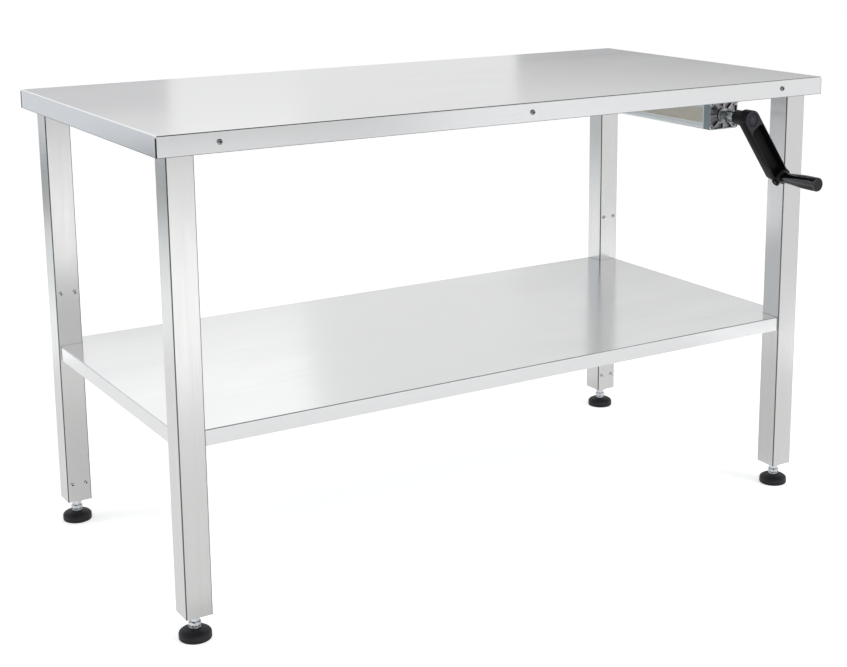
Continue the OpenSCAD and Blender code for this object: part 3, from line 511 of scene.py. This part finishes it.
# Black painted shade beside the open slot at each corner.
beside_slot = [reckon(tree, along, "GREATER_THAN", pan_high.x - END_DEPTH, -1300, 700),
    reckon(tree, across, "GREATER_THAN", pan_high.y - SEAM_REACH, -1300, 500),
    reckon(tree, height, "LESS_THAN", SEAM_TOP, -1300, 300)]
tint_where(PAN_STEEL, edge_shade_line, EDGE_SHADE_GREY)
tint_where(PAN_STEEL, beside_slot, SLOT_SHADE_BLACK)
dress(["top_pan"], PAN_STEEL)

LEG_TUBE = brushed_steel("steel_leg_tube", "Z", **LEG_LOOK)
tree = LEG_TUBE.node_tree
painted_corner_line = []
# A dark grey painted along each leg's rounded corners, as a painted reflection.
for distance, middle, y in zip(place_on_part(tree)[:2], middle_of("leg_rr"), (900, 600)):
    offset = reckon(tree, distance, "SUBTRACT", middle, -1300, y)
    offset = reckon(tree, offset, "ABSOLUTE", 0.0, -1100, y)
    painted_corner_line.append(reckon(tree, offset, "GREATER_THAN", LEG_HALF - LEG_ROUND, -900, y))
tint_where(LEG_TUBE, painted_corner_line, CORNER_REFLECTION_GREY)
dress(["leg_" + c for c in CORNERS], LEG_TUBE)

# %% [markdown]
# The other metal parts are plated, cast, drawn or oiled. Each finish is one pair of close
# tones and one pair of close gloss values, mixed by a fine noise, so that no surface is a
# single flat colour. Castings and oiled steel also get a shallow bump from the same
# noise. The pump's body is aluminium that was pressed through a die, which leaves lines
# along it, so it is made like the brushed steel.

# %% Metal finishes
METAL, SLIGHT = 1.0, 0.00002


def plain_finish(name, dark, light, rough, metallic=0.0, grain=90.0, depth=0.0, shine=0.5):
    """A finish with a slight change of tone and gloss, and a bump where depth isn't 0."""
    material, tree, shader = new_finish(name)
    fleck = stretched_noise(tree, "X", grain, grain, -700, 0)
    share = to_range(tree, fleck, 0.0, 1.0, -400, 100)
    gloss = to_range(tree, fleck, rough[1], rough[0], -400, -100)
    tree.links.new(blend_colours(tree, share, dark, light, -100, 100), shader.inputs["Base Color"])
    tree.links.new(gloss, shader.inputs["Roughness"])
    shader.inputs["Metallic"].default_value = metallic
    shader.inputs["Specular IOR Level"].default_value = shine
    if depth:
        give_bump(tree, shader, fleck, depth)
    return material


SCREW_STEEL = plain_finish("polished_screw_steel",
    (0.62, 0.62, 0.63), (0.72, 0.72, 0.73), (0.10, 0.16), METAL, 300.0)
# A darker copy of the screw steel, as painted shade for the apron's screws.
SHADED_SCREW_STEEL = plain_finish("screw_steel_painted_shade",
    (0.27, 0.27, 0.28), (0.37, 0.37, 0.38), (0.07, 0.12), METAL, 300.0)
SOCKET_DARK = plain_finish("socket_shade",
    (0.02, 0.02, 0.022), (0.05, 0.05, 0.055), (0.4, 0.5), METAL, 900.0)
ZINC = plain_finish("zinc_plate",
    (0.66, 0.69, 0.72), (0.76, 0.79, 0.82), (0.16, 0.26), METAL, 60.0)
SMOOTH_ZINC = plain_finish("smooth_cast_zinc",
    (0.34, 0.38, 0.385), (0.44, 0.48, 0.485), (0.18, 0.28), METAL, 150.0)
CAST_ZINC = plain_finish("cast_zinc",
    (0.40, 0.41, 0.42), (0.52, 0.53, 0.54), (0.28, 0.4), METAL, 320.0, SLIGHT)
CAP_SIDE = plain_finish("cast_zinc_dark_side",
    (0.20, 0.25, 0.26), (0.26, 0.31, 0.32), (0.35, 0.45), METAL, 320.0, SLIGHT)
# Painted shade for the walls of the caps' pockets.
POCKET = plain_finish("cast_zinc_pocket",
    (0.035, 0.037, 0.042), (0.07, 0.07, 0.078), (0.45, 0.6), METAL, 320.0, SLIGHT)
POCKET_FLOOR = plain_finish("cast_zinc_pocket_floor",
    (0.40, 0.385, 0.40), (0.52, 0.50, 0.52), (0.4, 0.5), METAL, 320.0, SLIGHT)
OILED_STEEL = plain_finish("oiled_steel",
    (0.20, 0.20, 0.21), (0.34, 0.34, 0.35), (0.25, 0.45), METAL, 200.0, SLIGHT)
ALUMINIUM = brushed_steel("extruded_aluminium", "Y",
    (0.66, 0.69, 0.69), (0.74, 0.77, 0.77), (0.26, 0.34), 400.0)

dress(["lift_cylinders", "line_fittings", "pump_plates", "lead_screw", "plungers"]
    + ["ram_" + c for c in CORNERS], ZINC)
dress(["pump_housing", "pump_block"], ALUMINIUM)
dress(["crosshead", "screw_bearing", "fold_pin"], OILED_STEEL)
dress(["shelf_screws", "pump_plate_screws"], SCREW_STEEL)

# %% [markdown]
# The blacks are plastic, rubber and paint. They differ less in colour than in gloss: the
# grip is polished, the arm is satin, and the feet and the rubber are dull. So each gets
# its own roughness and shine instead of one black for all. The plate on the pump's side
# is cream.

# %% Plastic, rubber and paint
FAINT, COARSE = 0.00001, 0.00003

NYLON = plain_finish("black_nylon",
    (0.012, 0.012, 0.014), (0.03, 0.03, 0.033), (0.4, 0.55), 0.0, 900.0, SLIGHT)
HOSE = plain_finish("hose_jacket",
    (0.010, 0.010, 0.011), (0.022, 0.022, 0.024), (0.35, 0.5), 0.0, 500.0, FAINT)
RUBBER = plain_finish("grommet_rubber",
    (0.012, 0.012, 0.012), (0.026, 0.026, 0.026), (0.6, 0.8), 0.0, 700.0, COARSE)
ARM_BLACK = plain_finish("satin_black_arm",
    (0.004, 0.004, 0.005), (0.008, 0.008, 0.009), (0.30, 0.42), 0.0, 1400.0, FAINT, 0.16)
HEAD_BLACK = plain_finish("charcoal_head",
    (0.020, 0.020, 0.026), (0.028, 0.028, 0.036), (0.40, 0.52), 0.0, 1400.0, FAINT, 0.25)
GRIP_BLACK = plain_finish("gloss_black_grip",
    (0.002, 0.002, 0.003), (0.004, 0.004, 0.006), (0.06, 0.10), 0.0, 200.0, 0.0, 1.0)
# Painted shade: the near black in the corner slots and in the disc's groove and hole.
GAP_SHADE_BLACK = plain_finish("painted_gap_shade",
    (0.001, 0.001, 0.001), (0.002, 0.002, 0.002), (0.7, 0.8), 0.0, 900.0, 0.0, 0.05)
LIGHTER_RING_BLACK = plain_finish("lighter_black_ring",
    (0.05, 0.05, 0.06), (0.09, 0.09, 0.10), (0.30, 0.40), 0.0, 900.0, 0.0, 0.4)
PLUG_BLACK = plain_finish("plug_black",
    (0.014, 0.014, 0.018), (0.022, 0.022, 0.028), (0.40, 0.50), 0.0, 900.0, FAINT, 0.25)
FOOT_BLACK = plain_finish("foot_black",
    (0.008, 0.008, 0.010), (0.020, 0.020, 0.024), (0.42, 0.56), 0.0, 1100.0, SLIGHT, 0.35)
CREAM = plain_finish("cream_plate",
    (0.68, 0.65, 0.54), (0.76, 0.73, 0.63), (0.35, 0.5), 0.0, 120.0)

dress(["cylinder_glands", "lower_blocks", "upper_blocks", "line_clips", "grip_spindle"], NYLON)
dress(["line_" + c for c in CORNERS], HOSE)
dress(["line_grommets"], RUBBER)
dress(["pump_label_plate"], CREAM)

# %% [markdown]
# No machined or cast edge is perfectly sharp, and it is the small rounding that catches
# the light and makes a part look real. CAD leaves such edges square. A Bevel modifier
# could round them, but a CAD mesh is cut into thin triangles that a bevel would follow.
# So the mesh is copied first, its doubled points are joined, its flat faces are made
# whole again, and only then the edges between faces at an angle are bevelled.

# %% Rounded copies of CAD parts
FLAT, SHARP, SMOOTH = math.radians(1.0), math.radians(30.0), math.radians(38.0)
SAME_POINT = 1e-6


def whole_faces(node):
    """A copy of a CAD node's mesh for editing, with joined points and whole flat faces."""
    work = bmesh.new()
    work.from_mesh(NODES[node].data)
    bmesh.ops.remove_doubles(work, verts=work.verts, dist=SAME_POINT)
    bmesh.ops.dissolve_limit(work, angle_limit=FLAT, verts=work.verts, edges=work.edges)
    return work


def stand_for(work, name, nodes, materials, pick_material=None):
    """Makes the edited mesh a piece that rides with the CAD nodes it stands for."""
    mesh = bpy.data.meshes.new(name)
    bmesh.ops.recalc_face_normals(work, faces=work.faces)
    for face in work.faces:
        face.smooth = True
        if pick_material:
            face.material_index = pick_material(face)
    work.to_mesh(mesh)
    work.free()
    mesh.set_sharp_from_angle(angle=SMOOTH)
    for material in materials:
        mesh.materials.append(material)
    piece = bpy.data.objects.new(name, mesh)
    scene.collection.objects.link(piece)
    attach(piece, BODY_OF[nodes[0]])
    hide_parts(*nodes)
    print(name, len(mesh.polygons), "faces, for", ", ".join(nodes))
    return piece


def round_edges(work, width, shortest, segments=2):
    """Bevels every edge between two faces at an angle, if it is long enough for it."""
    edges = [edge for edge in work.edges if edge.is_manifold
        and edge.calc_face_angle(0) > SHARP and edge.calc_length() > shortest]
    bmesh.ops.bevel(work, geom=edges, offset=width, segments=segments, profile=0.5,
        affect="EDGES", clamp_overlap=False)


print("helpers for rounded copies ready")

# %% [markdown]
# The crank arm is a casting in satin black. Its head, round the disc over the hub, has a
# flat front of a lighter charcoal. That could be a second piece, but the arm is one
# casting, so each face is asked where it lies and gets one of two finishes.

# %% Crank arm
head_x, head_y, head_z = middle_of("hub_cover")
HEAD_REACH, HEAD_FRONT, ALMOST_FLAT = 0.021, 0.001, 0.9


def arm_material(face):
    """0 for the black of the arm, 1 for the charcoal of the head's flat front."""
    centre = face.calc_center_median()
    in_front = face.normal.y < -ALMOST_FLAT and centre.y < head_y + HEAD_FRONT
    return 1 if in_front and math.hypot(centre.x - head_x, centre.z - head_z) < HEAD_REACH else 0


arm_mesh = whole_faces("crank_arm")
round_edges(arm_mesh, width=0.0012, shortest=0.001, segments=3)
stand_for(arm_mesh, "crank_arm_rounded", ["crank_arm"], [ARM_BLACK, HEAD_BLACK], arm_material)

# %% [markdown]
# At each corner of the top the two aprons don't meet: the sheet is folded, not welded,
# and an upright slot stays open. It shows as a black line. A near-black strip of painted
# shade is put into each slot: without it, light from below would come back out of the slot
# and the line would vanish. Each strip has a slightly hollow face.

# %% Seam strips of painted shade
SHEET, SLOT, TOP_SEAM = 0.0015, 0.003, 0.9355
SET_BACK, SIDE_PLAY, END_PLAY = 0.0002, 0.0001, 0.0003
HOLLOW, BACK_PLAY, HOLLOW_STEPS = 0.0004, 0.0004, 6


def slot_shade_strip(side, end):
    """An upright strip in one corner's slot, swept from a section with a hollow face."""
    outer_x, near_y = pan_high.x - SET_BACK, pan_high.y - SHEET - SIDE_PLAY
    back_x, wide = outer_x - SHEET + BACK_PLAY, SLOT - 2 * SIDE_PLAY
    section = [(outer_x - HOLLOW * math.sin(math.pi * i / HOLLOW_STEPS), near_y - wide * i / HOLLOW_STEPS)
        for i in range(HOLLOW_STEPS + 1)]
    section += [(back_x, near_y - wide), (back_x, near_y)]
    work = bmesh.new()
    low, high = [[work.verts.new((side * x, end * y, z)) for x, y in section]
        for z in (pan_low.z + END_PLAY, TOP_SEAM - END_PLAY)]
    for i in range(len(section)):
        j = (i + 1) % len(section)
        work.faces.new((low[i], low[j], high[j], high[i]))
    work.faces.new(low)
    work.faces.new(high)
    bmesh.ops.recalc_face_normals(work, faces=work.faces)
    mesh = bpy.data.meshes.new("slot_shade_strip")
    work.to_mesh(mesh)
    work.free()
    # The strip's near-black finish is painted shade in the slot.
    mesh.materials.append(GAP_SHADE_BLACK)
    return mesh


for c in CORNERS:
    mesh = slot_shade_strip(-1 if c[1] == "l" else 1, -1 if c[0] == "f" else 1)
    strip = bpy.data.objects.new("slot_shade_strip_" + c, mesh)
    scene.collection.objects.link(strip)
    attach(strip, BODY_OF["top_pan"])
print("seam strips", SLOT, "m wide and", round(TOP_SEAM - pan_low.z, 4), "m high")

# %% [markdown]
# The pump's end caps are die-cast zinc. Their face is machined pale, and their sides are
# given a darker tone. The pockets between the ribs are deep, and their walls are painted
# nearly black as painted shade, while their floors, which look outwards, are pale again.
# One casting therefore shows four tones, which are given face by face: by where a face lies
# in the cap and which way it looks.

# %% Pump caps
SKIN_DEPTH, OUTER_SHARE, MOSTLY_OUTWARD = 0.0008, 0.955, 0.7
CAP_FINISHES = [CAST_ZINC, CAP_SIDE, POCKET, POCKET_FLOOR]


def cap_material(low, high, front_y, facing):
    """Gives the tone of each face of a cap: 0 front, 1 outer side, 2 pocket wall, 3 pocket floor."""
    middle = low.lerp(high, 0.5)

    def tone_of(face):
        centre = face.calc_center_median()
        if abs(centre.y - front_y) < SKIN_DEPTH:
            return 0
        reach_x = abs(centre.x - middle.x) / (high.x - middle.x)
        reach_z = abs(centre.z - middle.z) / (high.z - middle.z)
        if max(reach_x, reach_z) > OUTER_SHARE:
            return 1
        # A pocket wall gets painted shade, a pocket floor the pale tone.
        return 3 if face.normal.y * facing > MOSTLY_OUTWARD else 2

    return tone_of


for cap, facing in (("pump_front_cap", -1), ("pump_rear_cap", 1)):
    cap_low, cap_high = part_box(cap)
    front_y = cap_low.y if facing < 0 else cap_high.y
    tone_of = cap_material(cap_low, cap_high, front_y, facing)
    cap_mesh = whole_faces(cap)
    round_edges(cap_mesh, width=0.0005, shortest=0.0008)
    stand_for(cap_mesh, cap + "_cast", [cap], CAP_FINISHES, tone_of)

# %% [markdown]
# Screws, feet, stems and the grip are turned on a lathe, or round as if they were. Such a
# part is a profile swept round an axis. It is written as rows from one end to the other:
# a height, a radius, and the number of the finish that starts there. Where the section
# isn't round, as in a hexagon, a small function takes the place of the radius and says
# how far the surface reaches at each angle. More steps round the axis make a smoother
# outline, so a wide part gets more of them than a screw.

# %% Turned parts
SCREW_STEPS, STEM_STEPS, PLUG_STEPS, WIDE_STEPS = 24, 36, 48, 64


def hexagon(flat_to_middle, limit=1.0):
    """The reach of a hexagon at an angle, cut back to a limit where its corners are chamfered."""
    def reach(turn):
        return min(limit, flat_to_middle / math.cos(turn % (math.pi / 3) - math.pi / 6))
    return reach


def turned(work, rows, place, steps=SCREW_STEPS, closed=False):
    """Sweeps rows round the z axis of a place. A closed profile comes back to its first row."""
    turns = [2 * math.pi * i / steps for i in range(steps)]
    rings = []
    for height, radius, *_ in rows:
        reach = radius if callable(radius) else (lambda turn, r=radius: r)
        ring = [(reach(t) * math.cos(t), reach(t) * math.sin(t), height) for t in (turns if radius else [0.0])]
        rings.append([work.verts.new(place @ Vector(point)) for point in ring])
    for i in range(len(rings) if closed else len(rings) - 1):
        low, high = rings[i], rings[(i + 1) % len(rings)]
        for j in range(steps):
            k = (j + 1) % steps
            corners = low[j % len(low)], low[k % len(low)], high[k % len(high)], high[j % len(high)]
            face = work.faces.new(list(dict.fromkeys(corners)))
            face.material_index = rows[i][2] if len(rows[i]) > 2 else 0


def arc(middle_height, middle_radius, tall, wide, first, last, count):
    """Rows along part of an ellipse, from one angle to another. 0 points away from the axis."""
    angles = [math.radians(first + (last - first) * i / count) for i in range(count + 1)]
    return [(middle_height + tall * math.sin(a), middle_radius + wide * math.cos(a)) for a in angles]


def facing_y(x, y, z, sign):
    """A place whose z axis lies along y: towards the rear for a sign of 1, the front for -1."""
    return Matrix.Translation((x, y, z)) @ Matrix.Rotation(math.radians(-90 * sign), 4, "X")


print("helpers for turned parts ready")

# %% [markdown]
# The screws that show are button heads: a low polished dome with a hexagon socket. The
# dome is what gives each its dark side and its bright spot, so it is turned as a true
# curve, while the CAD has a plain cone there. Each screw's place, size and direction are
# read from the CAD solid it stands for. The screws in the apron look darker than those
# in the legs and the pump, so they get a darker copy of the same steel: painted shade in
# place of the dark surroundings that they mirror.

# %% Button-head screws
HEAD_TALL, RIM_SHARE, CROWN_SHARE, SOCKET_SHARE = 0.55, 0.30, 0.56, 0.312
SCREW_EDGE, DOME_STEPS = 0.0002, 6


def loose_solids(node):
    """The points of each separate solid of a CAD node."""
    work = whole_faces(node)
    seen, solids = set(), []
    for start in work.verts:
        if start in seen:
            continue
        seen.add(start)
        waiting, points = [start], []
        while waiting:
            point = waiting.pop()
            points.append(point.co.copy())
            for edge in point.link_edges:
                other = edge.other_vert(point)
                if other not in seen:
                    seen.add(other)
                    waiting.append(other)
        solids.append(points)
    work.free()
    return solids


def button_head(thread, head, length):
    """The rows of a button-head screw, whose head sits on height 0."""
    tall = HEAD_TALL * thread
    rim = RIM_SHARE * tall
    crown = CROWN_SHARE * head / 2
    socket = SOCKET_SHARE * thread
    edge = SCREW_EDGE
    return ([(-length, 0), (-length, thread / 2 - 2 * edge), (2 * edge - length, thread / 2), (0, thread / 2),
        (0, head / 2 - edge), (edge, head / 2)]
        + arc(rim, crown, tall - rim, head / 2 - crown, 0, 90, DOME_STEPS)
        + [(tall, hexagon(socket + edge), 1), (tall - edge, hexagon(socket), 1),
        (tall / 3, hexagon(socket), 1), (tall / 3 - edge, 0)])


def turn_screws(node, thread, steel):
    """Replaces the screws of a node, which all lie along y, by turned ones."""
    work = bmesh.new()
    tall = HEAD_TALL * thread
    for points in loose_solids(node):
        x = (min(p.x for p in points) + max(p.x for p in points)) / 2
        z = (min(p.z for p in points) + max(p.z for p in points)) / 2
        near, far = min(p.y for p in points), max(p.y for p in points)
        rim = max(points, key=lambda p: math.hypot(p.x - x, p.z - z))
        head = 2 * math.hypot(rim.x - x, rim.z - z)
        sign = 1 if rim.y > (near + far) / 2 else -1
        seat = far - tall if sign > 0 else near + tall
        turned(work, button_head(thread, head, far - near - tall), facing_y(x, seat, z, sign))
    stand_for(work, node + "_turned", [node], [steel, SOCKET_DARK])


# The apron's screws get the darker steel, which is painted shade.
turn_screws("top_screws", 0.006, SHADED_SCREW_STEEL)
turn_screws("cylinder_screws", 0.005, SCREW_STEEL)
turn_screws("pump_cap_screws", 0.005, SCREW_STEEL)

# %% [markdown]
# Each foot is a moulded pad that a ball on its stem sits in. It has an upright rim, a low
# dome and a narrow groove where its sole begins. A cylinder with a rounded edge would
# pass from afar, but the dome and the groove catch the light, so the whole profile is
# turned, with the hollow for the ball inside.

# %% Feet
MM = 0.001
foot_low, foot_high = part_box("foot_fl")
PAD_R = (foot_high.x - foot_low.x) / 2
PAD_TOP = foot_high.z
BALL_Z, BALL_R, PLAY = 13 * MM, 7 * MM, 0.3 * MM
RIM_Z, NECK_R, EDGE = 11 * MM, 12 * MM, 2.5 * MM
GROOVE, GROOVE_DEEP = (4.0 * MM, 4.3 * MM, 4.7 * MM, 5.0 * MM), 0.5 * MM
MOUTH = ((PAD_TOP, 8.9 * MM), (PAD_TOP - 0.4 * MM, 8.5 * MM))
HOLLOW_HEIGHTS = (3, 1.5, 0, -2, -4, -5.5, -6.6)

foot_rows = ([(0, 0)] + arc(EDGE, PAD_R - EDGE, EDGE, EDGE, -90, 0, 4)
    + [(GROOVE[0], PAD_R), (GROOVE[1], PAD_R - GROOVE_DEEP), (GROOVE[2], PAD_R - GROOVE_DEEP), (GROOVE[3], PAD_R)]
    + arc(RIM_Z, NECK_R, PAD_TOP - RIM_Z, PAD_R - NECK_R, 0, 90, 12)
    + [*MOUTH]
    + [(BALL_Z + h * MM, math.sqrt((BALL_R + PLAY) ** 2 - (h * MM) ** 2)) for h in HOLLOW_HEIGHTS]
    + [(BALL_Z - BALL_R - PLAY, 0)])
for c in CORNERS:
    middle = middle_of("foot_" + c)
    foot = bmesh.new()
    turned(foot, foot_rows, Matrix.Translation((middle.x, middle.y, 0)), WIDE_STEPS)
    stand_for(foot, "foot_pad_" + c, ["foot_" + c], [FOOT_BLACK])

# %% [markdown]
# A levelling stem rises from its ball with a collar, a neck and a hexagon for the
# spanner, with chamfered corners as on every nut. Above the hexagon comes the thread
# that goes up into the ram. A picture of a thread would do from afar, but its outline
# would stay smooth. So the first part, all that can come into sight, is a real spiral:
# its radius depends on the angle as well as on the height.

# %% Stems
STEM_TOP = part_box("stem_fl")[1].z
STUD_R, COLLAR_R, STEM_NECK_R, FLAT_R = 5 * MM, 11 * MM, 8 * MM, 11 * MM
STUD_Z, COLLAR_Z, COLLAR_TOP = 18.2 * MM, 21 * MM, 23.5 * MM
HEX_Z, HEX_TOP = 25.5 * MM, 34 * MM
PITCH, DEPTH, CUT_LENGTH, ROWS_A_TURN = 1.5 * MM, 0.9 * MM, 21 * MM, 6
CHAMFER, BREAK = 0.8 * MM, 0.4 * MM


def threaded(height):
    """The reach of a thread at an angle: highest once a turn, and moving up by the pitch."""
    def reach(turn):
        phase = (height / PITCH - turn / (2 * math.pi)) % 1.0
        return STUD_R - DEPTH * abs(2 * phase - 1)
    return reach


thread_heights = [HEX_TOP + i * PITCH / ROWS_A_TURN for i in range(1, int(CUT_LENGTH / PITCH * ROWS_A_TURN))]
stem_rows = ([(BALL_Z - BALL_R, 0)] + arc(BALL_Z, 0, BALL_R, BALL_R, -90, 44, 12)[1:]
    + [(STUD_Z, STUD_R), (COLLAR_Z, STUD_R), (COLLAR_Z, COLLAR_R - BREAK), (COLLAR_Z + BREAK, COLLAR_R),
    (COLLAR_TOP - BREAK, COLLAR_R), (COLLAR_TOP, COLLAR_R - BREAK), (COLLAR_TOP, STEM_NECK_R), (HEX_Z, STEM_NECK_R),
    (HEX_Z, hexagon(FLAT_R, FLAT_R)), (HEX_Z + CHAMFER, hexagon(FLAT_R)), (HEX_TOP - CHAMFER, hexagon(FLAT_R)),
    (HEX_TOP, hexagon(FLAT_R, FLAT_R)), (HEX_TOP, STUD_R - DEPTH)]
    + [(height, threaded(height)) for height in thread_heights]
    + [(HEX_TOP + CUT_LENGTH, STUD_R), (STEM_TOP - DEPTH, STUD_R), (STEM_TOP, STUD_R - DEPTH), (STEM_TOP, 0)])
for c in CORNERS:
    middle = middle_of("stem_" + c)
    stem = bmesh.new()
    turned(stem, stem_rows, Matrix.Translation((middle.x, middle.y, 0)), STEM_STEPS)
    stand_for(stem, "stem_turned_" + c, ["stem_" + c], [ZINC])

# %% [markdown]
# The grip is turned plastic with a slow swell and a polished skin, and a plug closes its
# end. The grip's profile is a closed one, because it is a tube that turns on a spindle.
# The swell follows a curve that starts and ends level, so that it has no kink where it
# meets the straight end.

# %% Grip and plug
grip_low, grip_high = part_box("grip_sleeve")
grip_middle = middle_of("grip_sleeve")
GRIP_LONG, GRIP_R = grip_high.y - grip_low.y, (grip_high.x - grip_low.x) / 2
GRIP_NECK_R, GRIP_EDGE, BORE_R = 11 * MM, 1.5 * MM, 4.05 * MM
NECK_EDGE = ((0, 0.8 * MM), (0.3 * MM, 0.2 * MM))
SWELL, SWELL_STEPS = 0.72, 24
PLUG_R, PLUG_DEEP, PLUG_LIP, PLUG_RIM, DISH = 12 * MM, 4 * MM, 0.3 * MM, 2 * MM, 0.3 * MM
grip_place = facing_y(grip_middle.x, grip_high.y, grip_middle.z, -1)


def grip_radius(share):
    """The grip's radius along its swell, which starts and ends gently."""
    return GRIP_NECK_R + (GRIP_R - GRIP_NECK_R) * (3 * share ** 2 - 2 * share ** 3)


swell_rows = [(GRIP_LONG * SWELL * i / SWELL_STEPS, grip_radius(i / SWELL_STEPS)) for i in range(SWELL_STEPS + 1)]
swell_rows[0] = (NECK_EDGE[0][1], GRIP_NECK_R)
grip_rows = ([(0, BORE_R)] + [(height, GRIP_NECK_R - inset) for height, inset in NECK_EDGE] + swell_rows
    + arc(GRIP_LONG - GRIP_EDGE, GRIP_R - GRIP_EDGE, GRIP_EDGE, GRIP_EDGE, 0, 90, 5)
    + [(GRIP_LONG, PLUG_R + PLUG_LIP), (GRIP_LONG - PLUG_LIP, PLUG_R), (GRIP_LONG - PLUG_DEEP, PLUG_R),
    (GRIP_LONG - PLUG_DEEP, BORE_R)])
grip = bmesh.new()
turned(grip, grip_rows, grip_place, WIDE_STEPS, closed=True)
stand_for(grip, "grip_turned", ["grip_sleeve"], [GRIP_BLACK])

plug_out, plug_in = [grip_high.y - corner.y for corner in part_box("grip_cap")]
plug_r = PLUG_R - 0.05 * MM
plug_rows = [(plug_in, 0), (plug_in, plug_r - BREAK), (plug_in + BREAK, plug_r), (plug_out - BREAK, plug_r),
    (plug_out, plug_r - BREAK), (plug_out, plug_r - PLUG_RIM), (plug_out - DISH, plug_r - PLUG_RIM - DISH),
    (plug_out - DISH, 0)]
plug = bmesh.new()
turned(plug, plug_rows, grip_place, PLUG_STEPS)
stand_for(plug, "grip_plug", ["grip_cap"], [PLUG_BLACK])

# %% [markdown]
# A disc closes the hub of the crank arm, with a groove near its rim and a small hole
# in a boss with a lighter ring at its middle. The groove and the hole are painted near
# black as painted shade. Behind the arm, the coupling joins it to the pump's shaft.
# Both are small, but they sit in plain sight in front of the pump, so their grooves,
# steps and chamfers are turned too.

# %% Disc and coupling
disc_low, disc_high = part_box("hub_cover")
DISC_R, DISC_THICK, BACK_BREAK = (disc_high.x - disc_low.x) / 2, disc_high.y - disc_low.y, 0.2 * MM
# Each row here is a depth below the face, then a distance inside the rim or a radius, then a finish.
# Finish 1, in the groove and the hole, is painted shade.
DISC_RIM = ((0.4, 0), (0, 0.4), (0, 1.1, 1), (0.5, 1.4), (0.25, 1.9))
DISC_BOSS = ((0.25, 4), (0, 3.7, 2), (0, 1.8), (0.3, 1.5, 1))
HOLE_R = 1.5 * MM

disc_rows = ([(0, 0), (0, DISC_R - BACK_BREAK), (BACK_BREAK, DISC_R)]
    + [(DISC_THICK - deep * MM, DISC_R - inset * MM, *finish) for deep, inset, *finish in DISC_RIM]
    + [(DISC_THICK - deep * MM, radius * MM, *finish) for deep, radius, *finish in DISC_BOSS]
    + [(DISC_THICK / 2, HOLE_R, 1), (DISC_THICK / 2, 0)])
disc = bmesh.new()
turned(disc, disc_rows, facing_y(head_x, disc_high.y, head_z, -1), PLUG_STEPS)
stand_for(disc, "hub_disc", ["hub_cover"], [HEAD_BLACK, GAP_SHADE_BLACK, LIGHTER_RING_BLACK])

coupling_low, coupling_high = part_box("crank_coupling")
COUPLING_R, COUPLING_LONG = (coupling_high.x - coupling_low.x) / 2, coupling_high.y - coupling_low.y
SHOULDER, NECK_WIDE = COUPLING_LONG - 14 * MM, 9.5 * MM
CRANK_BORE, SHAFT_BORE, BORE_STEP = 5.05 * MM, 6.05 * MM, SHOULDER - 8 * MM
END_BREAK, FILLET = 0.6 * MM, 0.6 * MM
coupling_rows = [(0, CRANK_BORE), (0, COUPLING_R - END_BREAK), (END_BREAK, COUPLING_R),
    (SHOULDER - CHAMFER, COUPLING_R), (SHOULDER, COUPLING_R - CHAMFER),
    (SHOULDER, NECK_WIDE + FILLET), (SHOULDER + FILLET, NECK_WIDE),
    (COUPLING_LONG - BREAK, NECK_WIDE), (COUPLING_LONG, NECK_WIDE - BREAK), (COUPLING_LONG, SHAFT_BORE),
    (BORE_STEP, SHAFT_BORE), (BORE_STEP, CRANK_BORE)]
coupling = bmesh.new()
turned(coupling, coupling_rows, facing_y(head_x, coupling_low.y, head_z, 1), PLUG_STEPS, closed=True)
stand_for(coupling, "coupling_turned", ["crank_coupling"], [SMOOTH_ZINC])
